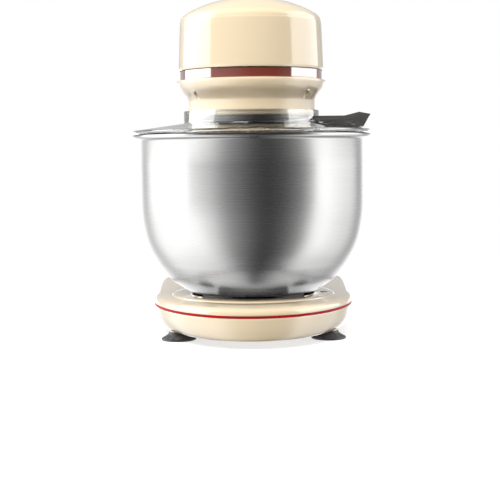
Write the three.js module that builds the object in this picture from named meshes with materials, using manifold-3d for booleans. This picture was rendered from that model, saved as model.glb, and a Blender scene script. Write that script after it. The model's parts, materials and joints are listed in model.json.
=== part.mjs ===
// Tilt-head stand mixer, in millimetres, +Z up, the nose of the head towards -Y.
// Every solid is drawn in one set of co-ordinates whose Z axis is the axis of the bowl;
// the whole group is moved at the end so that the origin is under the middle of the machine.
import * as THREE from "three";
import { mergeVertices } from "three/addons/utils/BufferGeometryUtils.js";
import Module from "manifold-3d";

const wasm = await Module();
wasm.setup();

// ---------------------------------------------------------------- driving sizes
const GAP = 0.3;                    // clearance between pieces that meet
const RUNNING = 0.5;                // clearance round a piece that turns
const WALL = 2.6;                   // wall of the moulded shells

const BOWL_RADIUS = 111.2;          // outside of the straight upper wall
const BOWL_HEIGHT = 157.1;          // bottom of the steel to the rolled rim
const BOWL_WALL = 1.1;
const RIM_ROLL = 6.8;               // how far the rim stands out past the wall

const FOOT_HEIGHT = 8;
const FOOT_RADIUS = 17;
const LOWER_SHELL_HEIGHT = 19.8;
const SEAM_HEIGHT = 2;
const DECK_RISE = 8;                // seam to the flat deck
const PLATEAU_RISE = 1.6;           // deck to the raised round under the bowl
const SEAT_SINK = 4.6;              // how deep the bowl's seat is let into that round
const SEAT_TO_BOWL = 5.6;           // seat level to the steel of the bowl

const HUB_RADIUS = 64.5;            // drive hub under the nose
const HUB_HEIGHT = 15;
const NOSE_MARGIN = 16.5;           // main gear's pitch circle to the outside of the nose
const LIP_STEP = 2;                 // lower edge of the head stands out past the nose
const SAUCER_HEIGHT = 20.2;         // hub top to the band
const BAND_HEIGHT = 9.1;
const HEAD_HEIGHT = 70.6;           // band top to the crown
const HEAD_REAR_WIDTH = 58;         // half width at the back of the head
const HEAD_DROP = 34;               // how much lower the crown is at the back
const HEAD_DROP_START = 30;         // behind the bowl axis, where the crown starts down

const COLUMN_CLEARANCE = 8;         // bowl rim to the column
const COLUMN_DEPTH = 102;
const COLUMN_HALF_WIDTH = 61;
const BARREL_RADIUS = 15;           // round of the column about the tilt hinge
const PIN_RADIUS = 5;
const GLAND_X = 40;                 // cable entry, right of the middle
const GLAND_BORE = 5.6;             // passes a 9 mm cord
const KNOB_RADIUS = 21;
const KNOB_DEPTH = 13;

const MODULE = 2;                   // slow gears
const FAST_MODULE = 1.5;            // first stage
const MAIN_TEETH = 55;
const IDLER_SMALL_TEETH = 11;
const IDLER_LARGE_TEETH = 48;
const MOTOR_TEETH = 10;
const RING_TEETH = 40;
const PLANET_TEETH = 15;
const BACKLASH = 0.62;              // share of the pitch left to the gaps
const ADDENDUM = 0.8;               // tooth above the pitch circle, in modules
const DEDENDUM = 1.15;              // tooth below the pitch circle, in modules
const TOOTH_SLOPE = Math.tan(0.35); // lean of a tooth's side

const FAR = 200;                    // reach of a cut that has to clear the machine
const ROUND = 40;                   // facets round a large turned piece
const SMALL_ROUND = 16;

const NOSE_RADIUS = MODULE * MAIN_TEETH / 2 + NOSE_MARGIN;
const LIP_RADIUS = NOSE_RADIUS + LIP_STEP;

// ---------------------------------------------------------------- levels
const BASE_BOTTOM = FOOT_HEIGHT + 1.5;
const SEAM_Z = BASE_BOTTOM + LOWER_SHELL_HEIGHT + GAP;
const UPPER_BOTTOM = SEAM_Z + SEAM_HEIGHT + GAP;
const DECK_Z = UPPER_BOTTOM + DECK_RISE;
const PLATEAU_Z = DECK_Z + PLATEAU_RISE;
const SEAT_Z = PLATEAU_Z - SEAT_SINK;
const BOWL_BOTTOM = SEAT_Z + SEAT_TO_BOWL;
const RIM_Z = BOWL_BOTTOM + BOWL_HEIGHT;
const GUARD_BOTTOM = RIM_Z + 0.6;
const HUB_BOTTOM = GUARD_BOTTOM + 16.4;
const HUB_TOP = HUB_BOTTOM + HUB_HEIGHT;
const BAND_Z = HUB_TOP + SAUCER_HEIGHT + GAP;
const HEAD_Z = BAND_Z + BAND_HEIGHT + GAP;
const CROWN_Z = HEAD_Z + HEAD_HEIGHT;

// ---------------------------------------------------------------- plan
const RIM_RADIUS = BOWL_RADIUS + RIM_ROLL;
const COLUMN_FRONT = RIM_RADIUS + COLUMN_CLEARANCE;
const COLUMN_REAR = COLUMN_FRONT + COLUMN_DEPTH;
const PIVOT_Y = COLUMN_REAR - BARREL_RADIUS + 1;
const PIVOT_Z = HUB_TOP - 6.2;
const HEAD_REAR = COLUMN_REAR + 9;
const HEAD_TAIL = 36;               // depth of the rounded back of the head
const HEAD_TAIL_POWER = 0.8;        // below 1 squares the rounded back
const BASE_REAR = COLUMN_REAR + 4;
const BASE_TAIL = 58;               // depth of the rounded back of the base
const BASE_TAIL_POWER = 0.75;
const BASE_HALF_WIDTH = RIM_RADIUS - 13;
const BASE_NOSE_HALF = BASE_HALF_WIDTH - 4;
const BASE_NOSE_Y = 28;
const BASE_NOSE_DEPTH = RIM_RADIUS + 22;
const PLATEAU_RADIUS = 80;
const FOOT_RING_RADIUS = 51;        // steel foot under the bowl

const IDLER_Y = MODULE * (MAIN_TEETH + IDLER_SMALL_TEETH) / 2;
const MOTOR_Y = IDLER_Y + FAST_MODULE * (IDLER_LARGE_TEETH + MOTOR_TEETH) / 2;
const TOOL_OFFSET = MODULE * (RING_TEETH - PLANET_TEETH) / 2;

const group = new THREE.Group();
group.name = "stand_mixer";

// ---------------------------------------------------------------- finishes
const CREAM = { color: 0xf0e2c8, roughness: 0.28, metalness: 0 };
const RED_TRIM = { color: 0x8a2f22, roughness: 0.3, metalness: 0.1 };
const STEEL = { color: 0xb9bbbc, roughness: 0.32, metalness: 1 };
const DARK_STEEL = { color: 0x6f7276, roughness: 0.45, metalness: 1 };
const CAST = { color: 0xa3a5a6, roughness: 0.55, metalness: 1 };
const BLACK = { color: 0x17140f, roughness: 0.42, metalness: 0 };
const RUBBER = { color: 0x2c2c2d, roughness: 0.7, metalness: 0 };
const CLEAR = { color: 0xe8eeee, roughness: 0.08, metalness: 0, opacity: 0.35, transparent: true };
const SMOKED = { color: 0x3a3c3d, roughness: 0.12, metalness: 0, opacity: 0.8, transparent: true };
const COPPER = { color: 0xb4663a, roughness: 0.45, metalness: 1 };
const GEAR_NYLON = { color: 0xe7e3d6, roughness: 0.5, metalness: 0 };
const BOARD = { color: 0x2b6a45, roughness: 0.6, metalness: 0 };

// ---------------------------------------------------------------- solid helpers
function signedVolume(points, faces) {
  let volume = 0;
  const a = new THREE.Vector3();
  const b = new THREE.Vector3();
  const c = new THREE.Vector3();
  for (let i = 0; i < faces.length; i += 3) {
    a.fromArray(points, faces[i] * 3);
    b.fromArray(points, faces[i + 1] * 3);
    c.fromArray(points, faces[i + 2] * 3);
    volume += a.dot(b.cross(c)) / 6;
  }
  return volume;
}

// Turns a three.js geometry into a solid with its faces outwards.
function solid(geometry) {
  geometry.deleteAttribute("uv");
  geometry.deleteAttribute("normal");
  const merged = mergeVertices(geometry, 1e-4);
  const points = merged.attributes.position.array;
  const index = merged.index.array;
  const faces = [];
  for (let i = 0; i < index.length; i += 3) {
    const [a, b, c] = [index[i], index[i + 1], index[i + 2]];
    if (a !== b && b !== c && c !== a) {
      faces.push(a, b, c);
    }
  }
  if (signedVolume(points, faces) < 0) {
    for (let i = 0; i < faces.length; i += 3) {
      [faces[i + 1], faces[i + 2]] = [faces[i + 2], faces[i + 1]];
    }
  }
  return new wasm.Manifold(new wasm.Mesh({
    numProp: 3,
    vertProperties: new Float32Array(points),
    triVerts: new Uint32Array(faces),
  }));
}

// Puts a finished solid in the group under its own name, colour and body.
function piece(name, made, finish) {
  const out = made.getMesh();
  const geometry = new THREE.BufferGeometry();
  geometry.setAttribute("position", new THREE.BufferAttribute(out.vertProperties, 3));
  geometry.setIndex(new THREE.BufferAttribute(out.triVerts, 1));
  geometry.computeVertexNormals();
  const mesh = new THREE.Mesh(geometry, new THREE.MeshStandardMaterial(finish));
  mesh.name = name;
  group.add(mesh);
  return mesh;
}

function box(x0, x1, y0, y1, z0, z1) {
  const geometry = new THREE.BoxGeometry(x1 - x0, y1 - y0, z1 - z0);
  geometry.translate((x0 + x1) / 2, (y0 + y1) / 2, (z0 + z1) / 2);
  return solid(geometry);
}

// Upright round bar from z0 to z1, tapering from one radius to the other.
function bar(x, y, z0, z1, radius, topRadius = radius, facets = SMALL_ROUND) {
  const geometry = new THREE.CylinderGeometry(topRadius, radius, z1 - z0, facets);
  geometry.rotateX(Math.PI / 2);
  geometry.translate(x, y, (z0 + z1) / 2);
  return solid(geometry);
}

// Round bar lying along X.
function crossBar(x0, x1, y, z, radius, facets = SMALL_ROUND) {
  const geometry = new THREE.CylinderGeometry(radius, radius, x1 - x0, facets);
  geometry.rotateZ(Math.PI / 2);
  geometry.translate((x0 + x1) / 2, y, z);
  return solid(geometry);
}

// Round bar lying along Y, tapering from the first radius to the second.
function endBar(x, y0, y1, z, radius, rearRadius = radius, facets = SMALL_ROUND) {
  const geometry = new THREE.CylinderGeometry(rearRadius, radius, y1 - y0, facets);
  geometry.translate(x, (y0 + y1) / 2, z);
  return solid(geometry);
}

// Turned piece about the upright line through (x, y); profile pairs are [radius, z].
function turned(profile, facets = ROUND, x = 0, y = 0) {
  const points = profile.map(([radius, z]) => new THREE.Vector2(radius, z));
  const geometry = new THREE.LatheGeometry(points, facets);
  geometry.rotateX(Math.PI / 2);
  geometry.translate(x, y, 0);
  return solid(geometry);
}

// Turned ring: the profile is closed on itself.
function turnedRing(profile, facets = ROUND, x = 0, y = 0) {
  return turned([...profile, profile[0]], facets, x, y);
}

// Flat outline in X and Y pulled up from z0 to z1.
function slab(outline, z0, z1) {
  const shape = new THREE.Shape(outline.map(([x, y]) => new THREE.Vector2(x, y)));
  const geometry = new THREE.ExtrudeGeometry(shape, { depth: z1 - z0, bevelEnabled: false });
  geometry.translate(0, 0, z0);
  return solid(geometry);
}

// Outline in Y and Z pulled along X.
function sideSlab(outline, x0, x1) {
  const shape = new THREE.Shape(outline.map(([y, z]) => new THREE.Vector2(y, z)));
  const geometry = new THREE.ExtrudeGeometry(shape, { depth: x1 - x0, bevelEnabled: false });
  geometry.rotateY(Math.PI / 2);
  geometry.rotateX(Math.PI / 2);
  geometry.translate(x0, 0, 0);
  return solid(geometry);
}

// Outline in X and Z pulled along Y.
function frontSlab(outline, y0, y1) {
  const shape = new THREE.Shape(outline.map(([x, z]) => new THREE.Vector2(x, z)));
  const geometry = new THREE.ExtrudeGeometry(shape, { depth: y1 - y0, bevelEnabled: false });
  geometry.rotateX(Math.PI / 2);
  geometry.translate(0, y1, 0);
  return solid(geometry);
}

// Skin over a stack of closed rings of equal count; mirrored ends are capped across.
function loft(rings) {
  const count = rings[0].length;
  const points = rings.flat(2);
  const faces = [];
  for (let r = 0; r + 1 < rings.length; r += 1) {
    for (let i = 0; i < count; i += 1) {
      const a = r * count + i;
      const b = r * count + (i + 1) % count;
      faces.push(a, b, b + count, a, b + count, a + count);
    }
  }
  for (const [base, flip] of [[0, true], [(rings.length - 1) * count, false]]) {
    for (let i = 0; i < count / 2; i += 1) {
      const near = base + i;
      const next = base + i + 1;
      const far = base + (count - i) % count;
      const farNext = base + count - i - 1;
      const cap = [near, next, farNext, near, farNext, far];
      if (flip) {
        cap.reverse();
      }
      faces.push(...cap);
    }
  }
  const geometry = new THREE.BufferGeometry();
  geometry.setAttribute("position", new THREE.BufferAttribute(new Float32Array(points), 3));
  geometry.setIndex(faces);
  return solid(geometry);
}

// ---------------------------------------------------------------- plan outlines
// Right half of an outline, front to back, completed by its mirror image.
function mirrored(half, z) {
  const right = half.map(([x, y]) => [x, y, z]);
  const left = half.slice(1, -1).reverse().map(([x, y]) => [-x, y, z]);
  return [...right, ...left];
}

function easing(t) {
  return t * t * (3 - 2 * t);
}

// Head outline: round nose about the bowl axis, sides drawing in, rounded back.
function headHalf(radius, rearHalf, tail) {
  const half = [];
  const noseSteps = 8;
  for (let i = 0; i <= noseSteps; i += 1) {
    const angle = (Math.PI / 2) * (i / noseSteps);
    half.push([radius * Math.sin(angle), -radius * Math.cos(angle)]);
  }
  const backStart = HEAD_REAR - HEAD_TAIL;
  const sideSteps = 3;
  for (let i = 1; i <= sideSteps; i += 1) {
    const t = i / sideSteps;
    half.push([radius + (rearHalf - radius) * easing(t), backStart * t]);
  }
  const tailSteps = 5;
  for (let i = 1; i <= tailSteps; i += 1) {
    const angle = (Math.PI / 2) * (i / tailSteps);
    const x = rearHalf * Math.cos(angle) ** HEAD_TAIL_POWER;
    half.push([i === tailSteps ? 0 : x, backStart + tail * Math.sin(angle) ** HEAD_TAIL_POWER]);
  }
  return half;
}

// One level of the head: everything shrinks with the radius of the nose there.
function headRing(radius, z, inset = 0) {
  const share = radius / NOSE_RADIUS;
  const rearHalf = HEAD_REAR_WIDTH * share - inset;
  return mirrored(headHalf(radius - inset, rearHalf, HEAD_TAIL * share - inset), z);
}

// The crown comes down towards the back.
function droop([x, y, z]) {
  const along = Math.max(0, (y - HEAD_DROP_START) / (HEAD_REAR - HEAD_DROP_START));
  const high = Math.max(0, Math.min(1, (z - HEAD_Z) / HEAD_HEIGHT));
  return [x, y, z - HEAD_DROP * along ** 1.8 * high];
}

// Base outline: half an ellipse in front, sides nearly straight, rounded back.
function baseHalf(side, front, rear) {
  const half = [];
  const noseSteps = 9;
  const noseHalf = BASE_NOSE_HALF * side;
  for (let i = 0; i <= noseSteps; i += 1) {
    const angle = (Math.PI / 2) * (i / noseSteps);
    const y = BASE_NOSE_Y - BASE_NOSE_DEPTH * front * Math.cos(angle);
    half.push([noseHalf * Math.sin(angle), y]);
  }
  const backStart = BASE_REAR - BASE_TAIL;
  const sideSteps = 3;
  const wide = BASE_HALF_WIDTH * side;
  for (let i = 1; i <= sideSteps; i += 1) {
    const t = i / sideSteps;
    half.push([noseHalf + (wide - noseHalf) * easing(t), BASE_NOSE_Y + (backStart - BASE_NOSE_Y) * t]);
  }
  const tailSteps = 5;
  for (let i = 1; i <= tailSteps; i += 1) {
    const angle = (Math.PI / 2) * (i / tailSteps);
    const x = wide * Math.cos(angle) ** BASE_TAIL_POWER;
    const depth = BASE_TAIL - (1 - rear) * BASE_REAR;
    const y = backStart + depth * Math.sin(angle) ** BASE_TAIL_POWER;
    half.push([i === tailSteps ? 0 : x, y]);
  }
  return half;
}

function baseRing(side, front, rear, z) {
  return mirrored(baseHalf(side, front, rear), z);
}

// Column outline: a rounded oblong.
function columnRing(grow, z) {
  const half = [];
  const steps = 12;
  const middle = (COLUMN_FRONT + COLUMN_REAR) / 2;
  const deep = COLUMN_DEPTH / 2 + grow;
  const wide = COLUMN_HALF_WIDTH + grow;
  const squareness = 0.5;
  for (let i = 0; i <= steps; i += 1) {
    const angle = Math.PI * (i / steps);
    const s = Math.sin(angle);
    const c = Math.cos(angle);
    const x = wide * Math.abs(s) ** squareness;
    const y = middle - deep * Math.sign(c) * Math.abs(c) ** squareness;
    half.push([i === 0 || i === steps ? 0 : x, y]);
  }
  return mirrored(half, z);
}

// ---------------------------------------------------------------- gears
// Outline of a spur gear with straight-sided, slightly short teeth.
function gearOutline(teeth, module, x, y, turn) {
  const pitch = module * teeth / 2;
  const step = (2 * Math.PI) / teeth;
  const atPitch = step * (1 - BACKLASH) / 2;
  const outline = [];
  const rootHalf = atPitch + (DEDENDUM * module * TOOTH_SLOPE) / pitch;
  const tipHalf = atPitch - (ADDENDUM * module * TOOTH_SLOPE) / pitch;
  for (let i = 0; i < teeth; i += 1) {
    const middle = turn + i * step;
    const corners = [
      [pitch - DEDENDUM * module, -rootHalf],
      [pitch + ADDENDUM * module, -tipHalf],
      [pitch + ADDENDUM * module, tipHalf],
      [pitch - DEDENDUM * module, rootHalf],
    ];
    for (const [radius, offset] of corners) {
      outline.push([x + radius * Math.cos(middle + offset), y + radius * Math.sin(middle + offset)]);
    }
  }
  return outline;
}

// Outline of the space inside an internal gear.
function ringSpace(teeth, module, turn) {
  const pitch = module * teeth / 2;
  const step = (2 * Math.PI) / teeth;
  const atPitch = step * (1 - BACKLASH) / 2;
  const rootHalf = atPitch + (DEDENDUM * module * TOOTH_SLOPE) / pitch;
  const tipHalf = atPitch - (ADDENDUM * module * TOOTH_SLOPE) / pitch;
  const outline = [];
  for (let i = 0; i < teeth; i += 1) {
    const tooth = turn + i * step;
    const corners = [
      [pitch - ADDENDUM * module, -tipHalf],
      [pitch - ADDENDUM * module, tipHalf],
      [pitch + DEDENDUM * module, rootHalf],
      [pitch + DEDENDUM * module, step - rootHalf],
    ];
    for (const [radius, offset] of corners) {
      outline.push([radius * Math.cos(tooth + offset), radius * Math.sin(tooth + offset)]);
    }
  }
  return outline;
}

// ---------------------------------------------------------------- base
const LOWER_TOP = BASE_BOTTOM + LOWER_SHELL_HEIGHT;
const FOOT_PLACES = [
  ["front_right", 73, -40],
  ["front_left", -73, -40],
  ["rear_right", 74, BASE_REAR - 44],
  ["rear_left", -74, BASE_REAR - 44],
];

function makeLowerShell() {
  const outer = loft([
    baseRing(0.9, 0.985, 0.975, BASE_BOTTOM),
    baseRing(0.935, 0.99, 0.982, BASE_BOTTOM + 1.6),
    baseRing(0.965, 0.994, 0.99, BASE_BOTTOM + 5),
    baseRing(0.988, 0.998, 0.996, BASE_BOTTOM + 11),
    baseRing(1, 1, 1, LOWER_TOP),
  ]);
  const inner = loft([
    baseRing(0.925, 0.96, 0.96, BASE_BOTTOM + WALL),
    baseRing(0.955, 0.975, 0.975, BASE_BOTTOM + 9),
    baseRing(0.97, 0.98, 0.985, LOWER_TOP + 1),
  ]);
  let shell = outer.subtract(inner);
  for (const [, x, y] of FOOT_PLACES) {
    shell = shell.add(bar(x, y, FOOT_HEIGHT + GAP, BASE_BOTTOM + 8.5, 9));
    shell = shell.subtract(bar(x, y, 0, FOOT_HEIGHT + 6, 3.4));
  }
  const cooling = 6;
  const pitch = 9;
  for (let i = 0; i < cooling; i += 1) {
    const x = (i - (cooling - 1) / 2) * pitch;
    shell = shell.subtract(box(x - 2, x + 2, 60, 100, 0, BASE_BOTTOM + WALL + 1));
  }
  return shell.subtract(endBar(GLAND_X, BASE_REAR - 15, BASE_REAR + 15, GLAND_Z, GLAND_BODY + GAP + 0.1));
}

const GLAND_Z = BASE_BOTTOM + 11;
const GLAND_BODY = GLAND_BORE + 2;
piece("base_lower_shell", makeLowerShell(), CREAM);

// Seam trim: a closed strip standing a hair back from both shells.
const SEAM_TOP = SEAM_Z + SEAM_HEIGHT;
const trimOuter = loft([
  baseRing(0.994, 0.995, 0.997, SEAM_Z),
  baseRing(0.994, 0.995, 0.997, SEAM_TOP),
]);
const trimInner = loft([
  baseRing(0.968, 0.978, 0.984, SEAM_Z - 1),
  baseRing(0.968, 0.978, 0.984, SEAM_TOP + 1),
]);
piece("base_seam_trim", trimOuter.subtract(trimInner), RED_TRIM);

const SEAT_OUTER = 62;
const SEAT_INNER = 44;
const WIRE_WELL_Y = COLUMN_FRONT + 24;

function makeUpperShell() {
  const outer = loft([
    baseRing(1, 1, 1, UPPER_BOTTOM),
    baseRing(0.997, 0.998, 0.998, UPPER_BOTTOM + 2.4),
    baseRing(0.985, 0.99, 0.993, UPPER_BOTTOM + 4.6),
    baseRing(0.955, 0.972, 0.98, UPPER_BOTTOM + 6.2),
    baseRing(0.9, 0.935, 0.955, UPPER_BOTTOM + 7.2),
    baseRing(0.8, 0.87, 0.92, DECK_Z),
  ]);
  const inner = loft([
    baseRing(0.97, 0.98, 0.985, UPPER_BOTTOM - 1),
    baseRing(0.965, 0.975, 0.98, UPPER_BOTTOM + 2),
    baseRing(0.93, 0.95, 0.965, UPPER_BOTTOM + 3.6),
    baseRing(0.84, 0.89, 0.94, DECK_Z - WALL),
  ]);
  const plateau = turned([
    [0, DECK_Z - WALL + 0.5],
    [PLATEAU_RADIUS - 4, DECK_Z - WALL + 0.5],
    [PLATEAU_RADIUS, DECK_Z - 0.4],
    [PLATEAU_RADIUS - 0.6, PLATEAU_Z - 0.5],
    [PLATEAU_RADIUS - 1.6, PLATEAU_Z],
    [0, PLATEAU_Z],
  ]);
  const recessFloor = SEAT_Z - 1.4;
  const recessRadius = SEAT_OUTER + GAP;
  const panRadius = recessRadius + WALL;
  const pan = bar(0, 0, recessFloor - WALL, DECK_Z - WALL + 1, panRadius, panRadius, ROUND);
  const recess = bar(0, 0, recessFloor, PLATEAU_Z + 1, recessRadius, recessRadius, ROUND);
  const wellEnd = WIRE_WELL_Y + 30;
  const wireWell = box(-24, 24, WIRE_WELL_Y, wellEnd, DECK_Z - WALL - 3, DECK_Z + 3);
  const arrowRecess = slab(arrowOutline(0.8), PLATEAU_Z - 0.7, PLATEAU_Z + 1);
  const shell = outer.add(plateau).subtract(inner).add(pan).subtract(recess);
  return shell.subtract(wireWell).subtract(arrowRecess);
}

// Small pointer on the plateau that shows where the bowl locks.
function arrowOutline(grow) {
  const x = 71;
  const reach = 3.4 + grow;
  return [
    [x - reach, -4 - reach],
    [x + reach, -4],
    [x - reach, -4 + reach],
  ];
}

piece("base_upper_shell", makeUpperShell(), CREAM);
piece("lock_arrow", slab(arrowOutline(0), PLATEAU_Z - 0.4, PLATEAU_Z + 0.3), BLACK);

// Bowl seat: ring in the recess with three hooks over the lugs of the bowl's foot.
const SEAT_FLOOR = SEAT_Z - 1.1;
const LUG_Z = SEAT_Z + 1.5;
const LUG_HEIGHT = 1.6;
const LUG_REACH = 5;
const HOOK_INNER = FOOT_RING_RADIUS + 1;
const HOOK_ANGLES = [0, 1, 2].map((i) => Math.PI / 6 + (i * 2 * Math.PI) / 3);

function sectorOutline(inner, outer, start, end, steps) {
  const outline = [];
  for (let i = 0; i <= steps; i += 1) {
    const angle = start + (end - start) * (i / steps);
    outline.push([outer * Math.cos(angle), outer * Math.sin(angle)]);
  }
  for (let i = steps; i >= 0; i -= 1) {
    const angle = start + (end - start) * (i / steps);
    outline.push([inner * Math.cos(angle), inner * Math.sin(angle)]);
  }
  return outline;
}

function makeSeatRing() {
  let ring = turnedRing([
    [SEAT_INNER, SEAT_FLOOR],
    [SEAT_OUTER, SEAT_FLOOR],
    [SEAT_OUTER, SEAT_Z + 1],
    [FOOT_RING_RADIUS + LUG_REACH + 1, SEAT_Z + 1],
    [FOOT_RING_RADIUS + LUG_REACH + 1, SEAT_Z + 0.6],
    [SEAT_INNER, SEAT_Z + 0.6],
  ]);
  const hookTop = LUG_Z + LUG_HEIGHT + 0.6;
  const span = THREE.MathUtils.degToRad(22);
  const post = FOOT_RING_RADIUS + LUG_REACH + 0.9;
  const outside = SEAT_OUTER - 0.5;
  for (const middle of HOOK_ANGLES) {
    const wall = sectorOutline(post, outside, middle - span, middle + span, 5);
    const roof = sectorOutline(HOOK_INNER, outside, middle - span, middle + span, 5);
    ring = ring.add(slab(wall, SEAT_Z, hookTop)).add(slab(roof, hookTop - 0.01, hookTop + 1.2));
  }
  return ring;
}

piece("bowl_seat_ring", makeSeatRing(), DARK_STEEL);

// Suction feet: a flared rubber cup with a plug that sits in the shell's boss.
function makeFoot() {
  return turned([
    [0, 2.4],
    [FOOT_RADIUS - 4.6, 1.6],
    [FOOT_RADIUS - 3.2, 0],
    [FOOT_RADIUS - 0.6, 0],
    [FOOT_RADIUS, 1.2],
    [FOOT_RADIUS - 4.5, 5],
    [9.6, 6.6],
    [9.6, FOOT_HEIGHT],
    [3, FOOT_HEIGHT],
    [3, FOOT_HEIGHT + 4],
    [0, FOOT_HEIGHT + 4],
  ], 24);
}

for (const [place, x, y] of FOOT_PLACES) {
  const mesh = piece(`suction_foot_${place}`, makeFoot(), RUBBER);
  mesh.position.set(x, y, 0);
}

// Iron weight screwed inside the base under the bowl.
const ballast = box(-42, 42, -58, 20, BASE_BOTTOM + WALL + GAP, BASE_BOTTOM + WALL + 9);
piece("ballast_plate", ballast, DARK_STEEL);

// Cable gland in the back of the lower shell, with its bore.
function makeGland() {
  const rearHere = backOfBaseAt(GLAND_X);
  const body = endBar(GLAND_X, rearHere - 14, rearHere + 8, GLAND_Z, GLAND_BODY);
  const collar = endBar(GLAND_X, rearHere + 1.2, rearHere + 5.2, GLAND_Z, GLAND_BODY + 1.4, GLAND_BODY + 1.9);
  const bore = endBar(GLAND_X, rearHere - 30, rearHere + 30, GLAND_Z, GLAND_BORE);
  return body.add(collar).subtract(bore);
}

function backOfBaseAt(x) {
  const share = (x / BASE_HALF_WIDTH) ** (1 / BASE_TAIL_POWER);
  return BASE_REAR - BASE_TAIL + BASE_TAIL * Math.sqrt(1 - share * share) ** BASE_TAIL_POWER;
}

piece("cable_gland", makeGland(), BLACK);

// ---------------------------------------------------------------- column
const COLUMN_BOTTOM = DECK_Z + GAP;
const COLUMN_TOP = HUB_TOP - GAP;
const KNOB_Z = COLUMN_BOTTOM + 84;
const KNOB_Y = (COLUMN_FRONT + COLUMN_REAR) / 2;
const BUTTON_Z = COLUMN_TOP - 30;
const BUTTON_Y = COLUMN_FRONT + 34;
const CATCH_Y = BUTTON_Y;
const BARREL_HALF = COLUMN_HALF_WIDTH - 9;
const LUG_IN = 21;
const LUG_OUT = 30;

function makeColumn() {
  const outer = loft([
    columnRing(4, COLUMN_BOTTOM),
    columnRing(2.2, COLUMN_BOTTOM + 6),
    columnRing(0.8, COLUMN_BOTTOM + 16),
    columnRing(0, COLUMN_BOTTOM + 34),
    columnRing(-1, COLUMN_TOP),
  ]);
  const barrel = crossBar(-BARREL_HALF, BARREL_HALF, PIVOT_Y, PIVOT_Z, BARREL_RADIUS, 36);
  const rearCut = sideSlab([
    [PIVOT_Y, PIVOT_Z - 2],
    [COLUMN_REAR + 40, PIVOT_Z - 2],
    [COLUMN_REAR + 40, COLUMN_TOP + 40],
    [PIVOT_Y, COLUMN_TOP + 40],
  ], -FAR, FAR);
  const inner = loft([
    columnRing(-WALL, COLUMN_BOTTOM - 1),
    columnRing(-WALL - 0.4, COLUMN_BOTTOM + 34),
    columnRing(-WALL - 1.4, COLUMN_TOP - WALL),
  ]);
  const hollowHalf = BARREL_HALF - 3;
  const hollowBarrel = crossBar(-hollowHalf, hollowHalf, PIVOT_Y, PIVOT_Z, BARREL_RADIUS - 2.4, 36);
  const innerBelow = inner.subtract(sideSlab([
    [PIVOT_Y - 2, PIVOT_Z - 4],
    [COLUMN_REAR + 40, PIVOT_Z - 4],
    [COLUMN_REAR + 40, COLUMN_TOP + 40],
    [PIVOT_Y - 2, COLUMN_TOP + 40],
  ], -FAR, FAR));
  let column = outer.subtract(rearCut).add(barrel).subtract(innerBelow).subtract(hollowBarrel);
  for (const side of [-1, 1]) {
    const x0 = Math.min(side * (LUG_IN - 1.5), side * (LUG_OUT + 1.5));
    const x1 = Math.max(side * (LUG_IN - 1.5), side * (LUG_OUT + 1.5));
    column = column.subtract(box(x0, x1, PIVOT_Y - 26, COLUMN_REAR + 10, PIVOT_Z - 15, COLUMN_TOP + 20));
  }
  column = column.subtract(box(-14, 14, CATCH_Y - 12, CATCH_Y + 20, COLUMN_TOP - WALL - 4, COLUMN_TOP + 4));
  column = column.subtract(crossBar(0, COLUMN_HALF_WIDTH + 20, KNOB_Y, KNOB_Z, 4.6));
  const left = -COLUMN_HALF_WIDTH - 20;
  return column.subtract(box(left, 0, BUTTON_Y - 9, BUTTON_Y + 9, BUTTON_Z - 6, BUTTON_Z + 6));
}

// The column is moulded in two halves with a dark joint line round its rear third.
const SPLIT_Y = PIVOT_Y - BARREL_RADIUS - 5;
const wholeColumn = makeColumn();
const farBox = box(-FAR, FAR, SPLIT_Y, 2 * FAR, -FAR, 2 * FAR);
const nearBox = box(-FAR, FAR, -FAR, SPLIT_Y + GAP, -FAR, 2 * FAR);
piece("column_front_shell", wholeColumn.subtract(farBox), CREAM);
piece("column_rear_shell", wholeColumn.subtract(nearBox), CREAM);

// Steel bracket that carries the hinge pin, two cheeks on one plate.
const CHEEK_IN = 35;
const CHEEK_OUT = 38.5;
const CHEEK_FOOT = PIVOT_Z - 58;

function makeBracket() {
  let bracket = box(-CHEEK_OUT, CHEEK_OUT, PIVOT_Y - 40, PIVOT_Y + 4, CHEEK_FOOT, CHEEK_FOOT + 3.5);
  const cheek = [
    [PIVOT_Y - 40, CHEEK_FOOT + 1],
    [PIVOT_Y + 4, CHEEK_FOOT + 1],
    [PIVOT_Y + 6, PIVOT_Z - 6],
    [PIVOT_Y + 8, PIVOT_Z + 5],
    [PIVOT_Y + 4, PIVOT_Z + 10],
    [PIVOT_Y - 4, PIVOT_Z + 10],
    [PIVOT_Y - 10, PIVOT_Z + 3],
    [PIVOT_Y - 12, PIVOT_Z - 16],
  ];
  for (const [x0, x1] of [[CHEEK_IN, CHEEK_OUT], [-CHEEK_OUT, -CHEEK_IN]]) {
    bracket = bracket.add(sideSlab(cheek, x0, x1));
  }
  return bracket.subtract(crossBar(-80, 80, PIVOT_Y, PIVOT_Z, PIN_RADIUS + GAP));
}

piece("hinge_bracket", makeBracket(), DARK_STEEL);
piece("hinge_pin", crossBar(-44, 44, PIVOT_Y, PIVOT_Z, PIN_RADIUS), STEEL);

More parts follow.
